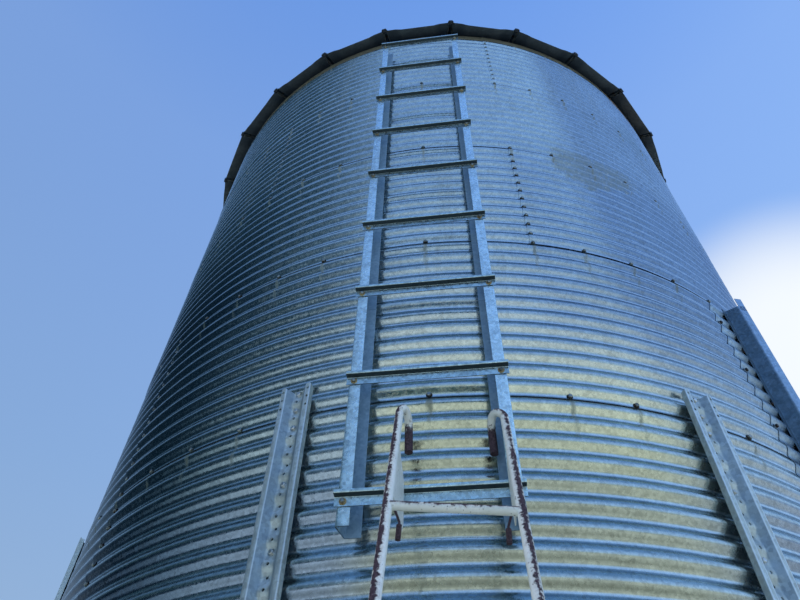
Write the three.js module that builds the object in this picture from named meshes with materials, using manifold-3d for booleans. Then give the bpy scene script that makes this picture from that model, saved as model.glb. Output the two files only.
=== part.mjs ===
// A grain silo: a ribbed steel bin on eight uprights that run down as legs, with a
// hopper floor, a ribbed cone roof, a walk-in door frame, a fixed outside ladder and
// a loose tube ladder that leans on it. Millimetres, +Z up, the ladder side faces -Y.
// The bin's axis is built at x = 0, y = 0, and the whole is then moved along Y so that
// the middle of its box lies over the origin, on the ground.
import * as THREE from "three";
import { mergeVertices } from "three/addons/utils/BufferGeometryUtils.js";
import Module from "manifold-3d";

const wasm = await Module();
wasm.setup();

const DEG = Math.PI / 180;
const GAP = 0.3;              // clearance kept between pieces that bear on each other

// Wall: twelve corrugations of 2 2/3 inch make a ring of 32 inches
const CORRUGATION = 67.73;
const CORRUGATIONS_PER_RING = 12;
const RING = CORRUGATION * CORRUGATIONS_PER_RING;
const RINGS = 5;
const WALL_RADIUS = 1825;     // middle of the corrugation
const WALL_HALF = 7;          // half the depth of the corrugation, with the sheet
const BOLTS_ROUND = 52;       // seam bolts round the wall: the pitch of everything on it
const PITCH = 360 / BOLTS_ROUND;
const WALL_BOTTOM = 1980;
const WALL_TOP = WALL_BOTTOM + RINGS * RING;
const WALL_OUTER = WALL_RADIUS + WALL_HALF;
const WALL_INNER = WALL_RADIUS - WALL_HALF;
const SEAM_A = WALL_BOTTOM + RING;
const SHEET_GAP = 0.01;       // degrees between neighbouring sheets

// Walk-in door in the two lower rings, four bolt pitches wide
const DOOR_FROM = 6.5;
const DOOR_TO = 10.5;
const DOOR_AZIMUTH = (DOOR_FROM + DOOR_TO) / 2 * PITCH;

// Roof
const ROOF_SLOPE = 30;
const ROOF_PANELS = 26;
const EAVE_RADIUS = 1916;
const RIB_TIP = 11;           // how far a rib stands past the eave
const RIB_HALF = 18;
const RIB_TOP_HALF = 14;
const RIB_RISE = 34;
const DECK = 8;
const FILL_RADIUS = 330;

// Hopper floor
const BAND = 60;
const HOPPER_SLOPE = 40;
const OUTLET_RADIUS = 200;
const HOPPER_SHEET = 12;

// Uprights
const LEG_WIDTH = 108;
const LEG_DEPTH = 31;
const LEG_WEB = 30;
const LEG_FLAT = 20;
const LEG_RETURN = 22;        // how far the outer edges turn back towards the wall
const LEG_SHEET = 4;
const LEG_TOP = SEAM_A + 98;
const FIRST_LEG = -8.914;      // in bolt pitches; the legs then follow 7 and 6 apart in turn
const LEG_STEPS = [0, 7, 13, 20, 26, 33, 39, 46];
const FOOT = { width: 190, depth: 150, thick: 10 };

// Fixed ladder, off the wall's mid radius
const RAIL_FACE = 100;
const RAIL_DEPTH = 65;
const RAIL_WIDTH = 37;        // front flange; the back flange is a little wider
const RAIL_BACK = 45;
const RAIL_CENTRE = 220;
const RAIL_SLANT = 12;        // the web leans towards the middle of the ladder at the back
const LADDER_X = 16;          // the ladder stands a little to one side of its bolt line
const RAIL_SHEET = 3.5;
const RUNG_PITCH = RING / 2;
const RUNG_RISE = 13;         // the treads lie a little above the seams' levels
const RUNG_LENGTH = 490;
const RUNG_TREAD = 17;
const RUNG_FLANGE = 30;
const RUNG_LIP = 9;
const RUNG_SHEET = 4;
const LADDER_FOOT = SEAM_A - 0.585 * RING;
const LADDER_SPLICE = SEAM_A + RUNG_PITCH + RUNG_RISE - RUNG_FLANGE - 2;
const LADDER_HEAD = SEAM_A + 3.555 * RING;

// Leaning ladder of steel tube, which rests against the fixed one
const TUBE = 12.7;
const LEAN = 67.3;
const TWIST = 6.85;
const LEAN_AT = new THREE.Vector3(85, -2049, SEAM_A - RUNG_PITCH + 18);
const TUBE_HALF = 143;
const HOOK_START = 221;       // along the rail, up from the level of the lowest fixed rung
const HOOK_FOOT = SEAM_A - 270;
const FIRST_TUBE_RUNG = -184;
const TUBE_RUNG_PITCH = 305;
const TUBE_RUNGS = 8;
const GUSSET = 5;

const steel = (color, roughness = 0.45, metalness = 0.85) =>
  new THREE.MeshStandardMaterial({ color, roughness, metalness });
const WALL_STEEL = steel(0x8d9fb0);
const ROOF_STEEL = steel(0x7d8b97);
const LADDER_STEEL = steel(0x9aaec4);
const LEG_STEEL = steel(0xa3adb3);
const HOPPER_STEEL = steel(0x87929b);
const DOOR_STEEL = steel(0x5f7890);
const WHITE_PAINT = steel(0xd9dcdb, 0.6, 0.1);

const silo = new THREE.Group();

// A point at an azimuth: 0 faces -Y, positive turns towards +X.
function polar(radius, azimuth, z = 0) {
  return new THREE.Vector3(radius * Math.sin(azimuth * DEG), -radius * Math.cos(azimuth * DEG), z);
}

function addMesh(name, geometry, material) {
  const mesh = new THREE.Mesh(geometry, material);
  mesh.name = name;
  silo.add(mesh);
  return mesh;
}

function outline(points) {
  return new THREE.Shape(points.map(([x, y]) => new THREE.Vector2(x, y)));
}

function extrudeZ(points, z0, z1) {
  const solid = new THREE.ExtrudeGeometry(outline(points), { depth: z1 - z0, bevelEnabled: false });
  return solid.translate(0, 0, z0);
}

// An outline in (y, z), carried along X.
function extrudeX(points, x0, x1) {
  const solid = new THREE.ExtrudeGeometry(outline(points), { depth: x1 - x0, bevelEnabled: false });
  const turn = new THREE.Matrix4().makeBasis(
    new THREE.Vector3(0, 1, 0), new THREE.Vector3(0, 0, 1), new THREE.Vector3(1, 0, 0));
  return solid.applyMatrix4(turn).translate(x0, 0, 0);
}

function box(x0, x1, y0, y1, z0, z1) {
  const solid = new THREE.BoxGeometry(x1 - x0, y1 - y0, z1 - z0);
  return solid.translate((x0 + x1) / 2, (y0 + y1) / 2, (z0 + z1) / 2);
}

function toManifold(geometry) {
  const bare = geometry.index ? geometry.toNonIndexed() : geometry.clone();
  bare.deleteAttribute("normal");
  bare.deleteAttribute("uv");
  const merged = mergeVertices(bare, 1e-3);
  return new wasm.Manifold(new wasm.Mesh({
    numProp: 3,
    vertProperties: new Float32Array(merged.attributes.position.array),
    triVerts: new Uint32Array(merged.index.array),
  }));
}

function toGeometry(solid) {
  const mesh = solid.getMesh();
  const geometry = new THREE.BufferGeometry();
  geometry.setAttribute("position", new THREE.BufferAttribute(mesh.vertProperties, 3));
  geometry.setIndex(new THREE.BufferAttribute(mesh.triVerts, 1));
  return geometry;
}

function fuse(geometries) {
  const solids = geometries.map(toManifold);
  return toGeometry(solids.reduce((whole, solid) => whole.add(solid)));
}

// A closed plate from two grids of points, outer and inner, each [row][column].
function plate(outer, inner) {
  const rows = outer.length;
  const columns = outer[0].length;
  const points = [...outer.flat(), ...inner.flat()];
  const half = rows * columns;
  const at = (row, column, side) => side * half + row * columns + column;
  const faces = [];
  const quad = (a, b, c, d) => faces.push(a, b, c, a, c, d);
  for (let row = 0; row + 1 < rows; row++) {
    for (let column = 0; column + 1 < columns; column++) {
      quad(at(row, column, 0), at(row, column + 1, 0), at(row + 1, column + 1, 0), at(row + 1, column, 0));
      quad(at(row, column, 1), at(row + 1, column, 1), at(row + 1, column + 1, 1), at(row, column + 1, 1));
    }
    quad(at(row, 0, 1), at(row, 0, 0), at(row + 1, 0, 0), at(row + 1, 0, 1));
    quad(at(row, columns - 1, 0), at(row, columns - 1, 1), at(row + 1, columns - 1, 1), at(row + 1, columns - 1, 0));
  }
  for (let column = 0; column + 1 < columns; column++) {
    quad(at(0, column, 1), at(0, column + 1, 1), at(0, column + 1, 0), at(0, column, 0));
    quad(at(rows - 1, column, 0), at(rows - 1, column + 1, 0), at(rows - 1, column + 1, 1), at(rows - 1, column, 1));
  }
  const geometry = new THREE.BufferGeometry();
  geometry.setAttribute("position", new THREE.Float32BufferAttribute(points.flatMap((p) => [p.x, p.y, p.z]), 3));
  geometry.setIndex(faces);
  return geometry;
}

// Azimuths of the facet corners between two bolt positions, one facet to a pitch.
function facetCorners(from, to) {
  const corners = [from];
  for (let k = Math.floor(from) + 1; k < to - 1e-6; k++) {
    corners.push(k);
  }
  corners.push(to);
  return corners.map((k) => k * PITCH);
}

// The wall is a polygon with its corners on the bolt lines; a cut between two corners
// lies on the chord, so it is a little nearer the axis.
function onFacet(radius, azimuth) {
  const k = azimuth / PITCH;
  const middle = (Math.floor(k) + 0.5) * PITCH;
  const whole = Math.abs(k - Math.round(k)) < 1e-6;
  return whole ? radius : radius * Math.cos(PITCH / 2 * DEG) / Math.cos((azimuth - middle) * DEG);
}

function wallSheet(name, ring, from, to) {
  const corners = facetCorners(from, to);
  corners[0] += SHEET_GAP;
  corners[corners.length - 1] -= SHEET_GAP;
  const z0 = WALL_BOTTOM + ring * RING + GAP / 2;
  const z1 = WALL_BOTTOM + (ring + 1) * RING - GAP / 2;
  const row = (radius, z) => corners.map((azimuth) => polar(onFacet(radius, azimuth), azimuth, z));
  addMesh(name, plate([row(WALL_OUTER, z1), row(WALL_OUTER, z0)].reverse(),
    [row(WALL_INNER, z1), row(WALL_INNER, z0)].reverse()), WALL_STEEL);
}

// Sheets of thirteen pitches, staggered from ring to ring; the door takes the place
// of part of one sheet in the two lower rings.
const SIDES = ["front", "right", "back", "left"];
const DOOR_RING_JOINTS = [-6, DOOR_FROM, DOOR_TO, 20, 33, 46];
const STAGGER = { 2: -11, 3: -4, 4: -11 };

function wall() {
  for (const ring of [0, 1]) {
    const j = DOOR_RING_JOINTS;
    [[j[0], j[1]], [j[2], j[3]], [j[3], j[4]], [j[4], j[5]]].forEach(([from, to], i) =>
      wallSheet(`wall_ring_${ring + 1}_${SIDES[i]}`, ring, from, to));
  }
  for (const ring of [2, 3, 4]) {
    SIDES.forEach((side, i) => {
      const from = STAGGER[ring] + 13 * i;
      wallSheet(`wall_ring_${ring + 1}_${side}`, ring, from, from + 13);
    });
  }
}

// Underside of the roof deck along a rib line. Between ribs the deck is flat, so it is
// set where the middle of a flat just clears the wall's top edge.
const PANEL = 360 / ROOF_PANELS;
function deckUnder(along) {
  const half = PANEL / 2 * DEG;
  const clears = (WALL_OUTER - RIB_HALF * Math.sin(half)) / Math.cos(half);
  return WALL_TOP + GAP + (clears - along) * Math.tan(ROOF_SLOPE * DEG);
}

function ribPoint(rib, along, side, rise) {
  const point = polar(along, (rib + 0.5) * PANEL, deckUnder(along) + rise);
  const across = polar(1, (rib + 0.5) * PANEL + 90);
  return point.addScaledVector(across, side);
}

function roofSector(name, from, to) {
  const row = (along, tip, under) => {
    const points = [ribPoint(from, along, RIB_HALF + GAP, under ? 0 : DECK)];
    for (let rib = from + 1; rib <= to; rib++) {
      const top = under ? 0 : DECK + RIB_RISE;
      points.push(ribPoint(rib, along, -RIB_HALF, under ? 0 : DECK));
      points.push(ribPoint(rib, along + tip, -RIB_TOP_HALF, top));
      points.push(ribPoint(rib, along + tip, RIB_TOP_HALF, top));
      points.push(ribPoint(rib, along, RIB_HALF, under ? 0 : DECK));
    }
    return points;
  };
  addMesh(name, plate([row(EAVE_RADIUS, RIB_TIP, false), row(FILL_RADIUS, 0, false)],
    [row(EAVE_RADIUS, RIB_TIP, true), row(FILL_RADIUS, 0, true)]), ROOF_STEEL);
}

function roof() {
  const cuts = [-4, 3, 9, 16, 22];
  SIDES.forEach((side, i) => roofSector(`roof_${side}`, cuts[i], cuts[i + 1]));
  const base = deckUnder(FILL_RADIUS);
  const top = base + 120;
  const collar = [[300, base], [329.3, base], [329.3, top], [300, top], [300, base]];
  addMesh("roof_collar", lathe(collar), ROOF_STEEL);
  const lidBase = top + GAP;
  const lid = [[0, lidBase], [352, lidBase], [352, lidBase + 14], [60, lidBase + 70], [0, lidBase + 74]];
  addMesh("fill_lid", lathe(lid), ROOF_STEEL);
}

// A turned piece about the bin's axis, from (radius, z) pairs given anticlockwise.
function lathe(profile, segments = BOLTS_ROUND / 2) {
  const points = profile.map(([radius, z]) => new THREE.Vector2(radius, z));
  return new THREE.LatheGeometry(points, segments).rotateX(Math.PI / 2);
}

const HOPPER_TOP = WALL_BOTTOM - GAP / 2;
const CONE_TOP = HOPPER_TOP - BAND;
const CONE_FALL = (WALL_OUTER - OUTLET_RADIUS) * Math.tan(HOPPER_SLOPE * DEG);
const CONE_FOOT = CONE_TOP - CONE_FALL;

function hopper() {
  SIDES.forEach((side, i) => {
    const corners = facetCorners(13 * i - 6, 13 * i + 7);
    corners[0] += SHEET_GAP;
    corners[corners.length - 1] -= SHEET_GAP;
    const row = (radius, z) => corners.map((azimuth) => polar(radius, azimuth, z));
    const drop = HOPPER_SHEET / Math.cos(HOPPER_SLOPE * DEG);
    const outer = [row(WALL_OUTER, HOPPER_TOP), row(WALL_OUTER, CONE_TOP), row(OUTLET_RADIUS, CONE_FOOT)];
    const inner = [row(WALL_INNER, HOPPER_TOP), row(WALL_INNER, CONE_TOP + drop * 0.4),
      row(OUTLET_RADIUS, CONE_FOOT + drop)];
    addMesh(`hopper_${side}`, plate(outer.reverse(), inner.reverse()), HOPPER_STEEL);
  });
  const top = CONE_FOOT - GAP;
  const foot = top - 90;
  const spout = [[188, foot + 10], [188, top], [210, top], [210, foot + 10], [250, foot + 10],
    [250, foot], [188, foot], [188, foot + 10]];
  addMesh("outlet_spout", lathe(spout.reverse(), 26), HOPPER_STEEL);
  const gateTop = foot - GAP;
  const gate = fuse([
    box(-260, 260, -300, 300, gateTop - 8, gateTop),
    box(-90, 90, -330, -318, gateTop - 16, gateTop - 4),
    box(-90, -78, -320, -290, gateTop - 14, gateTop - 4),
    box(78, 90, -320, -290, gateTop - 14, gateTop - 4),
  ]);
  addMesh("slide_gate", gate, DOOR_STEEL);
}

// Uprights: a sheet folded to a W. The narrow web bears on the wall, a slope on either side
// rises to an outer flat, and the edges turn back towards the wall.
function legOutline() {
  const foot = LEG_WEB / 2;
  const edge = LEG_WIDTH / 2;
  const crown = edge - LEG_FLAT;
  const s = LEG_SHEET;
  const right = [[foot, 0], [crown + 0.6 * s, LEG_DEPTH - s], [edge - s, LEG_DEPTH - s],
    [edge - s, LEG_DEPTH - LEG_RETURN], [edge, LEG_DEPTH - LEG_RETURN], [edge, LEG_DEPTH],
    [crown, LEG_DEPTH], [foot - 0.75 * s, s]];
  const left = right.map(([x, y]) => [-x, y]).reverse();
  return [...right, ...left].map(([x, y]) => [x, -y]);
}

function legs() {
  const back = -WALL_OUTER - GAP;
  const profile = legOutline();
  LEG_STEPS.forEach((step, i) => {
    const upright = extrudeZ(profile, FOOT.thick - 1, LEG_TOP);
    const foot = box(-FOOT.width / 2, FOOT.width / 2, -LEG_DEPTH / 2 - FOOT.depth / 2,
      -LEG_DEPTH / 2 + FOOT.depth / 2, 0, FOOT.thick);
    const solid = fuse([upright, foot]).translate(0, back, 0);
    const leg = addMesh(`upright_${i + 1}`, solid, LEG_STEEL);
    leg.rotation.z = (FIRST_LEG + step) * PITCH * DEG;
  });
}

// The door frame stands out square to the door's own centre line, so it is built
// facing -Y and turned to the door's azimuth.
const DOOR_HALF = (DOOR_TO - DOOR_FROM) / 2 * PITCH * DEG;
const SEAT_RADIUS = WALL_OUTER * Math.cos(PITCH / 2 * DEG) + GAP;
const JAMB_X = SEAT_RADIUS * Math.sin(DOOR_HALF);
const JAMB_Y = -SEAT_RADIUS * Math.cos(DOOR_HALF);
const FRAME_FACE = JAMB_Y - 60;
const FRAME_SHEET = 5;
const FRAME_FOOT = WALL_BOTTOM + 12;
const FRAME_HEAD = WALL_BOTTOM + 2 * RING;
const HORN = 48;              // the jambs' outer lips stand above the frame's head
const JAMB_FLANGES = { left: 118, right: 68 };
const LIP_ACROSS = 20;
const LIP_OUT = 20;
const LEAF = 8;

// Seat flange on the wall's flat, a web square to the door, and a lip that leans out.
function jambOutline(flange) {
  const s = FRAME_SHEET;
  const dir = [Math.cos(DOOR_HALF), Math.sin(DOOR_HALF)];
  const out = [Math.sin(DOOR_HALF), -Math.cos(DOOR_HALF)];
  const tail = [JAMB_X + flange * dir[0], JAMB_Y + flange * dir[1]];
  return [
    [JAMB_X - s, JAMB_Y - s * Math.tan(DOOR_HALF)], [JAMB_X - s, FRAME_FACE],
    [JAMB_X - s - LIP_ACROSS, FRAME_FACE - LIP_OUT], [JAMB_X - s - LIP_ACROSS, FRAME_FACE - LIP_OUT - s],
    [JAMB_X, FRAME_FACE - s], [JAMB_X, JAMB_Y - s / Math.cos(DOOR_HALF)],
    [tail[0] + s * out[0], tail[1] + s * out[1]], tail,
  ];
}

function lipOutline() {
  const s = FRAME_SHEET;
  return [[JAMB_X - s, FRAME_FACE], [JAMB_X - s - LIP_ACROSS, FRAME_FACE - LIP_OUT],
    [JAMB_X - s - LIP_ACROSS, FRAME_FACE - LIP_OUT - s], [JAMB_X, FRAME_FACE - s]];
}

function door() {
  const place = (mesh) => {
    mesh.rotation.z = DOOR_AZIMUTH * DEG;
  };
  for (const [side, sign] of [["left", -1], ["right", 1]]) {
    const mirror = ([x, y]) => [sign * x, y];
    const jamb = fuse([
      extrudeZ(jambOutline(JAMB_FLANGES[side]).map(mirror), FRAME_FOOT, FRAME_HEAD),
      extrudeZ(lipOutline().map(mirror), FRAME_HEAD - 30, FRAME_HEAD + HORN),
    ]);
    place(addMesh(`door_jamb_${side}`, jamb, DOOR_STEEL));
  }
  const inside = JAMB_X - FRAME_SHEET - GAP;
  const faceY = FRAME_FACE;
  const backY = JAMB_Y;
  const sill = extrudeX([[faceY, 0], [backY, 0], [backY, 6], [faceY + 6, 6], [faceY + 6, 40], [faceY, 40]], -inside, inside);
  place(addMesh("door_sill", sill.translate(0, 0, FRAME_FOOT), DOOR_STEEL));
  const head = extrudeX([[faceY, 0], [faceY + 6, 0], [faceY + 6, 34], [backY, 34], [backY, 40], [faceY, 40]], -inside, inside);
  place(addMesh("door_head", head.translate(0, 0, FRAME_HEAD - 46), DOOR_STEEL));
  const leafY = faceY + 6 + GAP;
  const leaf = box(-inside, inside, leafY, leafY + LEAF, FRAME_FOOT + 6 + GAP, FRAME_HEAD - 12 - GAP);
  place(addMesh("door_leaf", leaf, DOOR_STEEL));
}

// Fixed ladder. A rail is a channel that is open towards the middle of the ladder.
function railOutline(centre) {
  const side = Math.sign(centre);
  const s = RAIL_SHEET;
  const face = -WALL_RADIUS - RAIL_FACE;
  const back = face + RAIL_DEPTH;
  const heel = RAIL_WIDTH / 2 - RAIL_SLANT;
  const outward = [[RAIL_WIDTH / 2, face], [-RAIL_WIDTH / 2, face], [-RAIL_WIDTH / 2, face + s],
    [RAIL_WIDTH / 2 - s, face + s], [heel - s, back - s], [heel - RAIL_BACK, back - s],
    [heel - RAIL_BACK, back], [heel, back]];
  return outward.map(([x, y]) => [centre + side * x, y]);
}

function rung(z) {
  const face = -WALL_RADIUS - RAIL_FACE;
  const front = face - RUNG_TREAD - RUNG_SHEET;
  const s = RUNG_SHEET;
  const profile = [[face, 0], [front + s, 0], [front + s, RUNG_LIP], [front, RUNG_LIP], [front, -s],
    [face - s + 0.5, -s], [face - s + 0.5, -RUNG_FLANGE], [face + 0.5, -RUNG_FLANGE], [face + 0.5, 0]];
  return extrudeX(profile.reverse(), -RUNG_LENGTH / 2, RUNG_LENGTH / 2).translate(0, 0, z);
}

// A bent plate from a rail's back flange to the wall. The wall's flats fall back from
// the corner at x = 0, so its seat is found from its end that is nearer that corner.
const STANDOFF = { height: 60, web: 4, pad: 34, padThick: 5 };
function standoff(centre, z) {
  const side = Math.sign(centre);
  const x = LADDER_X + centre - side * (RAIL_BACK - RAIL_WIDTH / 2 + RAIL_SLANT - 7);
  const seat = -WALL_OUTER + Math.abs(x) * Math.tan(PITCH / 2 * DEG) - GAP;
  const railBack = -WALL_RADIUS - RAIL_FACE + RAIL_DEPTH;
  const across = (width) => (side > 0 ? [x, x + width] : [x - width, x]);
  return [
    box(...across(STANDOFF.web), railBack - 2, seat - 2, z, z + STANDOFF.height),
    box(...across(STANDOFF.pad), seat - STANDOFF.padThick, seat, z, z + STANDOFF.height),
  ];
}

function ladderSection(name, z0, z1, rungs, standoffs) {
  const pieces = [];
  for (const centre of [-RAIL_CENTRE, RAIL_CENTRE]) {
    pieces.push(extrudeZ(railOutline(centre), z0, z1).translate(LADDER_X, 0, 0));
    for (const z of standoffs) {
      pieces.push(...standoff(centre, z));
    }
  }
  for (const k of rungs) {
    pieces.push(rung(SEAM_A + RUNG_RISE + k * RUNG_PITCH).translate(LADDER_X, 0, 0));
  }
  addMesh(name, fuse(pieces), LADDER_STEEL);
}

function fixedLadder() {
  ladderSection("ladder_lower", LADDER_FOOT, LADDER_SPLICE - GAP, [-1, 0],
    [LADDER_FOOT + 40, LADDER_SPLICE - 120]);
  ladderSection("ladder_upper", LADDER_SPLICE, LADDER_HEAD, [1, 2, 3, 4, 5, 6, 7],
    [LADDER_SPLICE + 700, LADDER_SPLICE + 1600, LADDER_HEAD - 90]);
}

// Leaning ladder
function tubeAlong(points, steps) {
  const circle = new THREE.Shape();
  circle.absarc(0, 0, TUBE, 0, 2 * Math.PI, false);
  const path = new THREE.CatmullRomCurve3(points);
  return new THREE.ExtrudeGeometry(circle, { steps, curveSegments: 8, extrudePath: path, bevelEnabled: false });
}

// A rail's top end: it swings in towards the other rail, over, and straight down.
function hook(crest, unit, leg) {
  const start = (90 - LEAN) * DEG;
  const radius = Math.hypot(leg.x - crest.x, leg.y - crest.y) / (1 + Math.cos(start));
  const swing = new THREE.QuadraticBezierCurve(new THREE.Vector2(crest.x, crest.y),
    new THREE.Vector2(leg.x, crest.y), leg);
  const points = [crest.clone().addScaledVector(unit, -8)];
  for (let i = 0; i <= 7; i++) {
    const angle = start + (Math.PI - start) * i / 7;
    const plan = swing.getPoint((Math.cos(start) - Math.cos(angle)) / (1 + Math.cos(start)));
    points.push(new THREE.Vector3(plan.x, plan.y, crest.z + radius * (Math.sin(angle) - Math.sin(start))));
  }
  points.push(new THREE.Vector3(leg.x, leg.y, HOOK_FOOT));
  return tubeAlong(points, 20);
}

// A plate on a rail's inner side that bears on the front lip of the fixed ladder's rung.
function gusset(railAt, side) {
  const lip = -WALL_RADIUS - RAIL_FACE - RUNG_TREAD - RUNG_SHEET - GAP;
  const top = railAt(60);
  const foot = railAt(-150);
  const level = LEAN_AT.z;
  const x = top.x - side * 9;
  return extrudeX([[top.y, top.z], [foot.y, foot.z], [lip - 20, level - 132], [lip, level - 97], [lip, level + 14]],
    x - GUSSET / 2, x + GUSSET / 2);
}

function leaningLadder() {
  const lean = new THREE.Matrix4().makeRotationX(-(90 - LEAN) * DEG);
  lean.multiply(new THREE.Matrix4().makeRotationZ(TWIST * DEG)).setPosition(LEAN_AT);
  const along = (x, s) => new THREE.Vector3(x, 0, s).applyMatrix4(lean);
  const hookLegs = { left: new THREE.Vector2(-38, -1922), right: new THREE.Vector2(191, -1891) };
  const pieces = [];
  for (const [name, side] of [["left", -1], ["right", 1]]) {
    const x = side * TUBE_HALF;
    const unit = along(x, 1).sub(along(x, 0));
    const toGround = -(along(x, 0).z - 20) / unit.z;
    const length = HOOK_START - toGround;
    const rail = new THREE.CylinderGeometry(TUBE, TUBE, length, 8).rotateX(Math.PI / 2);
    pieces.push(rail.translate(x, 0, toGround + length / 2).applyMatrix4(lean));
    const foot = along(x, toGround);
    pieces.push(box(foot.x - 20, foot.x + 20, foot.y - 26, foot.y + 26, 0, 26));
    pieces.push(hook(along(x, HOOK_START), unit, hookLegs[name]));
    pieces.push(gusset((s) => along(x, s), side));
  }
  for (let i = 0; i < TUBE_RUNGS; i++) {
    const s = FIRST_TUBE_RUNG - i * TUBE_RUNG_PITCH;
    const tube = new THREE.CylinderGeometry(10.5, 10.5, 2 * TUBE_HALF, 8).rotateZ(Math.PI / 2);
    pieces.push(tube.translate(0, 0, s).applyMatrix4(lean));
  }
  addMesh("leaning_ladder", fuse(pieces), WHITE_PAINT);
}

wall();
roof();
hopper();
legs();
door();
fixedLadder();
leaningLadder();

const reach = new THREE.Box3().setFromObject(silo);
silo.position.y = -(reach.min.y + reach.max.y) / 2;

export default silo;
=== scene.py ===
# %% [markdown]
# # A grain silo in ribbed steel
# The bin stands on eight uprights. Five rings of corrugated sheet make its wall, a hopper
# closes it below, and a ribbed cone makes its roof. A fixed ladder climbs the front, and a
# loose ladder of painted tube leans on it. The frame that is loaded here holds every part
# as a plain solid in its right place. Each of them now gets its real sheet, folds, bolts
# and finish.

# %% Load the frame
import math

import bmesh
import bpy
from mathutils import Matrix, Vector


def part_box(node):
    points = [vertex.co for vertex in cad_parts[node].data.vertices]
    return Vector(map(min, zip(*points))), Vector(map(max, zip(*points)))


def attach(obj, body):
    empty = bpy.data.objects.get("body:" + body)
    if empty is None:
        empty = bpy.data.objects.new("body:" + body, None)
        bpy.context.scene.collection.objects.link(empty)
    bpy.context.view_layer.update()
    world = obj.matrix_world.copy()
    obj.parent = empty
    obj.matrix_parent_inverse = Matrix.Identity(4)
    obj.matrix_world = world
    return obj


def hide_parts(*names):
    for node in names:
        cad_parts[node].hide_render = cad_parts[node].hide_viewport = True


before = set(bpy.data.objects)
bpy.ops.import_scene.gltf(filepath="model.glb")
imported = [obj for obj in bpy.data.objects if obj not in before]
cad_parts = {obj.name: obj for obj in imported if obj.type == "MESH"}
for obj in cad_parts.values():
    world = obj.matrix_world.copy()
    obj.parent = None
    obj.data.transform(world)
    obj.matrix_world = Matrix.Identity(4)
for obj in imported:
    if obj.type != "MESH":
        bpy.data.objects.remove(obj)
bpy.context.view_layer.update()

# %% [markdown]
# Everything on this bin keeps to one rule of its maker: 52 seam bolts round the wall and
# twelve corrugations to a ring. So places are given as an azimuth counted in bolt pitches
# and a height counted from a seam. The axis and the heights come from the solids.

# %% Sizes that the whole bin shares
collar_low, collar_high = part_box("roof_collar")
AXIS = Vector(((collar_low[0] + collar_high[0]) / 2, (collar_low[1] + collar_high[1]) / 2, 0))
BOLTS_ROUND = 52
PITCH = math.tau / BOLTS_ROUND
CORRUGATION = 0.06773
RING = 12 * CORRUGATION
RINGS = 5
WALL_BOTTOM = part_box("wall_ring_1_front")[0][2] - 0.00015
WALL_TOP = WALL_BOTTOM + RINGS * RING
SEAM_A = WALL_BOTTOM + RING
WALL_RADIUS = 1.825


def polar(radius, azimuth, z=0.0):
    """A point at an azimuth in radians: 0 faces -Y, and it grows towards +X."""
    return AXIS + Vector((radius * math.sin(azimuth), -radius * math.cos(azimuth), z))


def facing(azimuth):
    """Turns a piece that was built facing -Y at the axis to stand at an azimuth."""
    return Matrix.Translation(AXIS) @ Matrix.Rotation(azimuth, 4, "Z")


print("axis", tuple(AXIS), "wall", round(WALL_BOTTOM, 4), round(WALL_TOP, 4))

# %% [markdown]
# Node trees are easier to read as sums. A small class holds one output of a node, and the
# signs + - * / between two of them add a Math node. `add` makes any other node from its
# type, its settings and what goes into its sockets.

# %% Sockets that Python can count with
class Value:
    """One output of a node, on which Python's own signs work."""

    def __init__(self, tree, socket):
        self.tree = tree
        self.socket = socket

    def math(self, operation, *others):
        return add(self.tree, "ShaderNodeMath", {"operation": operation}, [self, *others])

    def out(self, title):
        return Value(self.tree, self.socket.node.outputs[title])

    def __add__(self, other):
        return self.math("ADD", other)

    __radd__ = __add__

    def __sub__(self, other):
        return self.math("SUBTRACT", other)

    def __rsub__(self, other):
        return add(self.tree, "ShaderNodeMath", {"operation": "SUBTRACT"}, [other, self])

    def __mul__(self, other):
        return self.math("MULTIPLY", other)

    __rmul__ = __mul__

    def __truediv__(self, other):
        return self.math("DIVIDE", other)

    def __rtruediv__(self, other):
        return add(self.tree, "ShaderNodeMath", {"operation": "DIVIDE"}, [other, self])


def fill(tree, socket, value):
    if isinstance(value, Value):
        tree.links.new(value.socket, socket)
    elif value is not None:
        socket.default_value = value


def add(tree, kind, settings=None, inputs=None, output=0):
    """Adds a node. Its inputs are a list in order, or a dictionary by title or number."""
    node = tree.nodes.new(kind)
    for title, value in (settings or {}).items():
        if title == "stops":
            ramp = node.color_ramp
            while len(ramp.elements) < len(value):
                ramp.elements.new(0.5)
            for element, (place, colour) in zip(ramp.elements, value):
                element.position = place
                element.color = colour
        else:
            setattr(node, title, value)
    pairs = inputs.items() if isinstance(inputs, dict) else enumerate(inputs or [])
    for key, value in pairs:
        fill(tree, node.inputs[key], value)
    return Value(tree, node.outputs[output])


print("node helpers ready")

# %% [markdown]
# Geometry Nodes make what repeats. `Growth` opens a tree with named inputs, and `grow`
# runs one on an object, keeps the result as a plain mesh and takes the modifier away, so
# that the piece can be exported as it stands.

# %% Geometry Nodes helpers
SOCKETS = {float: "NodeSocketFloat", int: "NodeSocketInt", Vector: "NodeSocketVector"}


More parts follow.
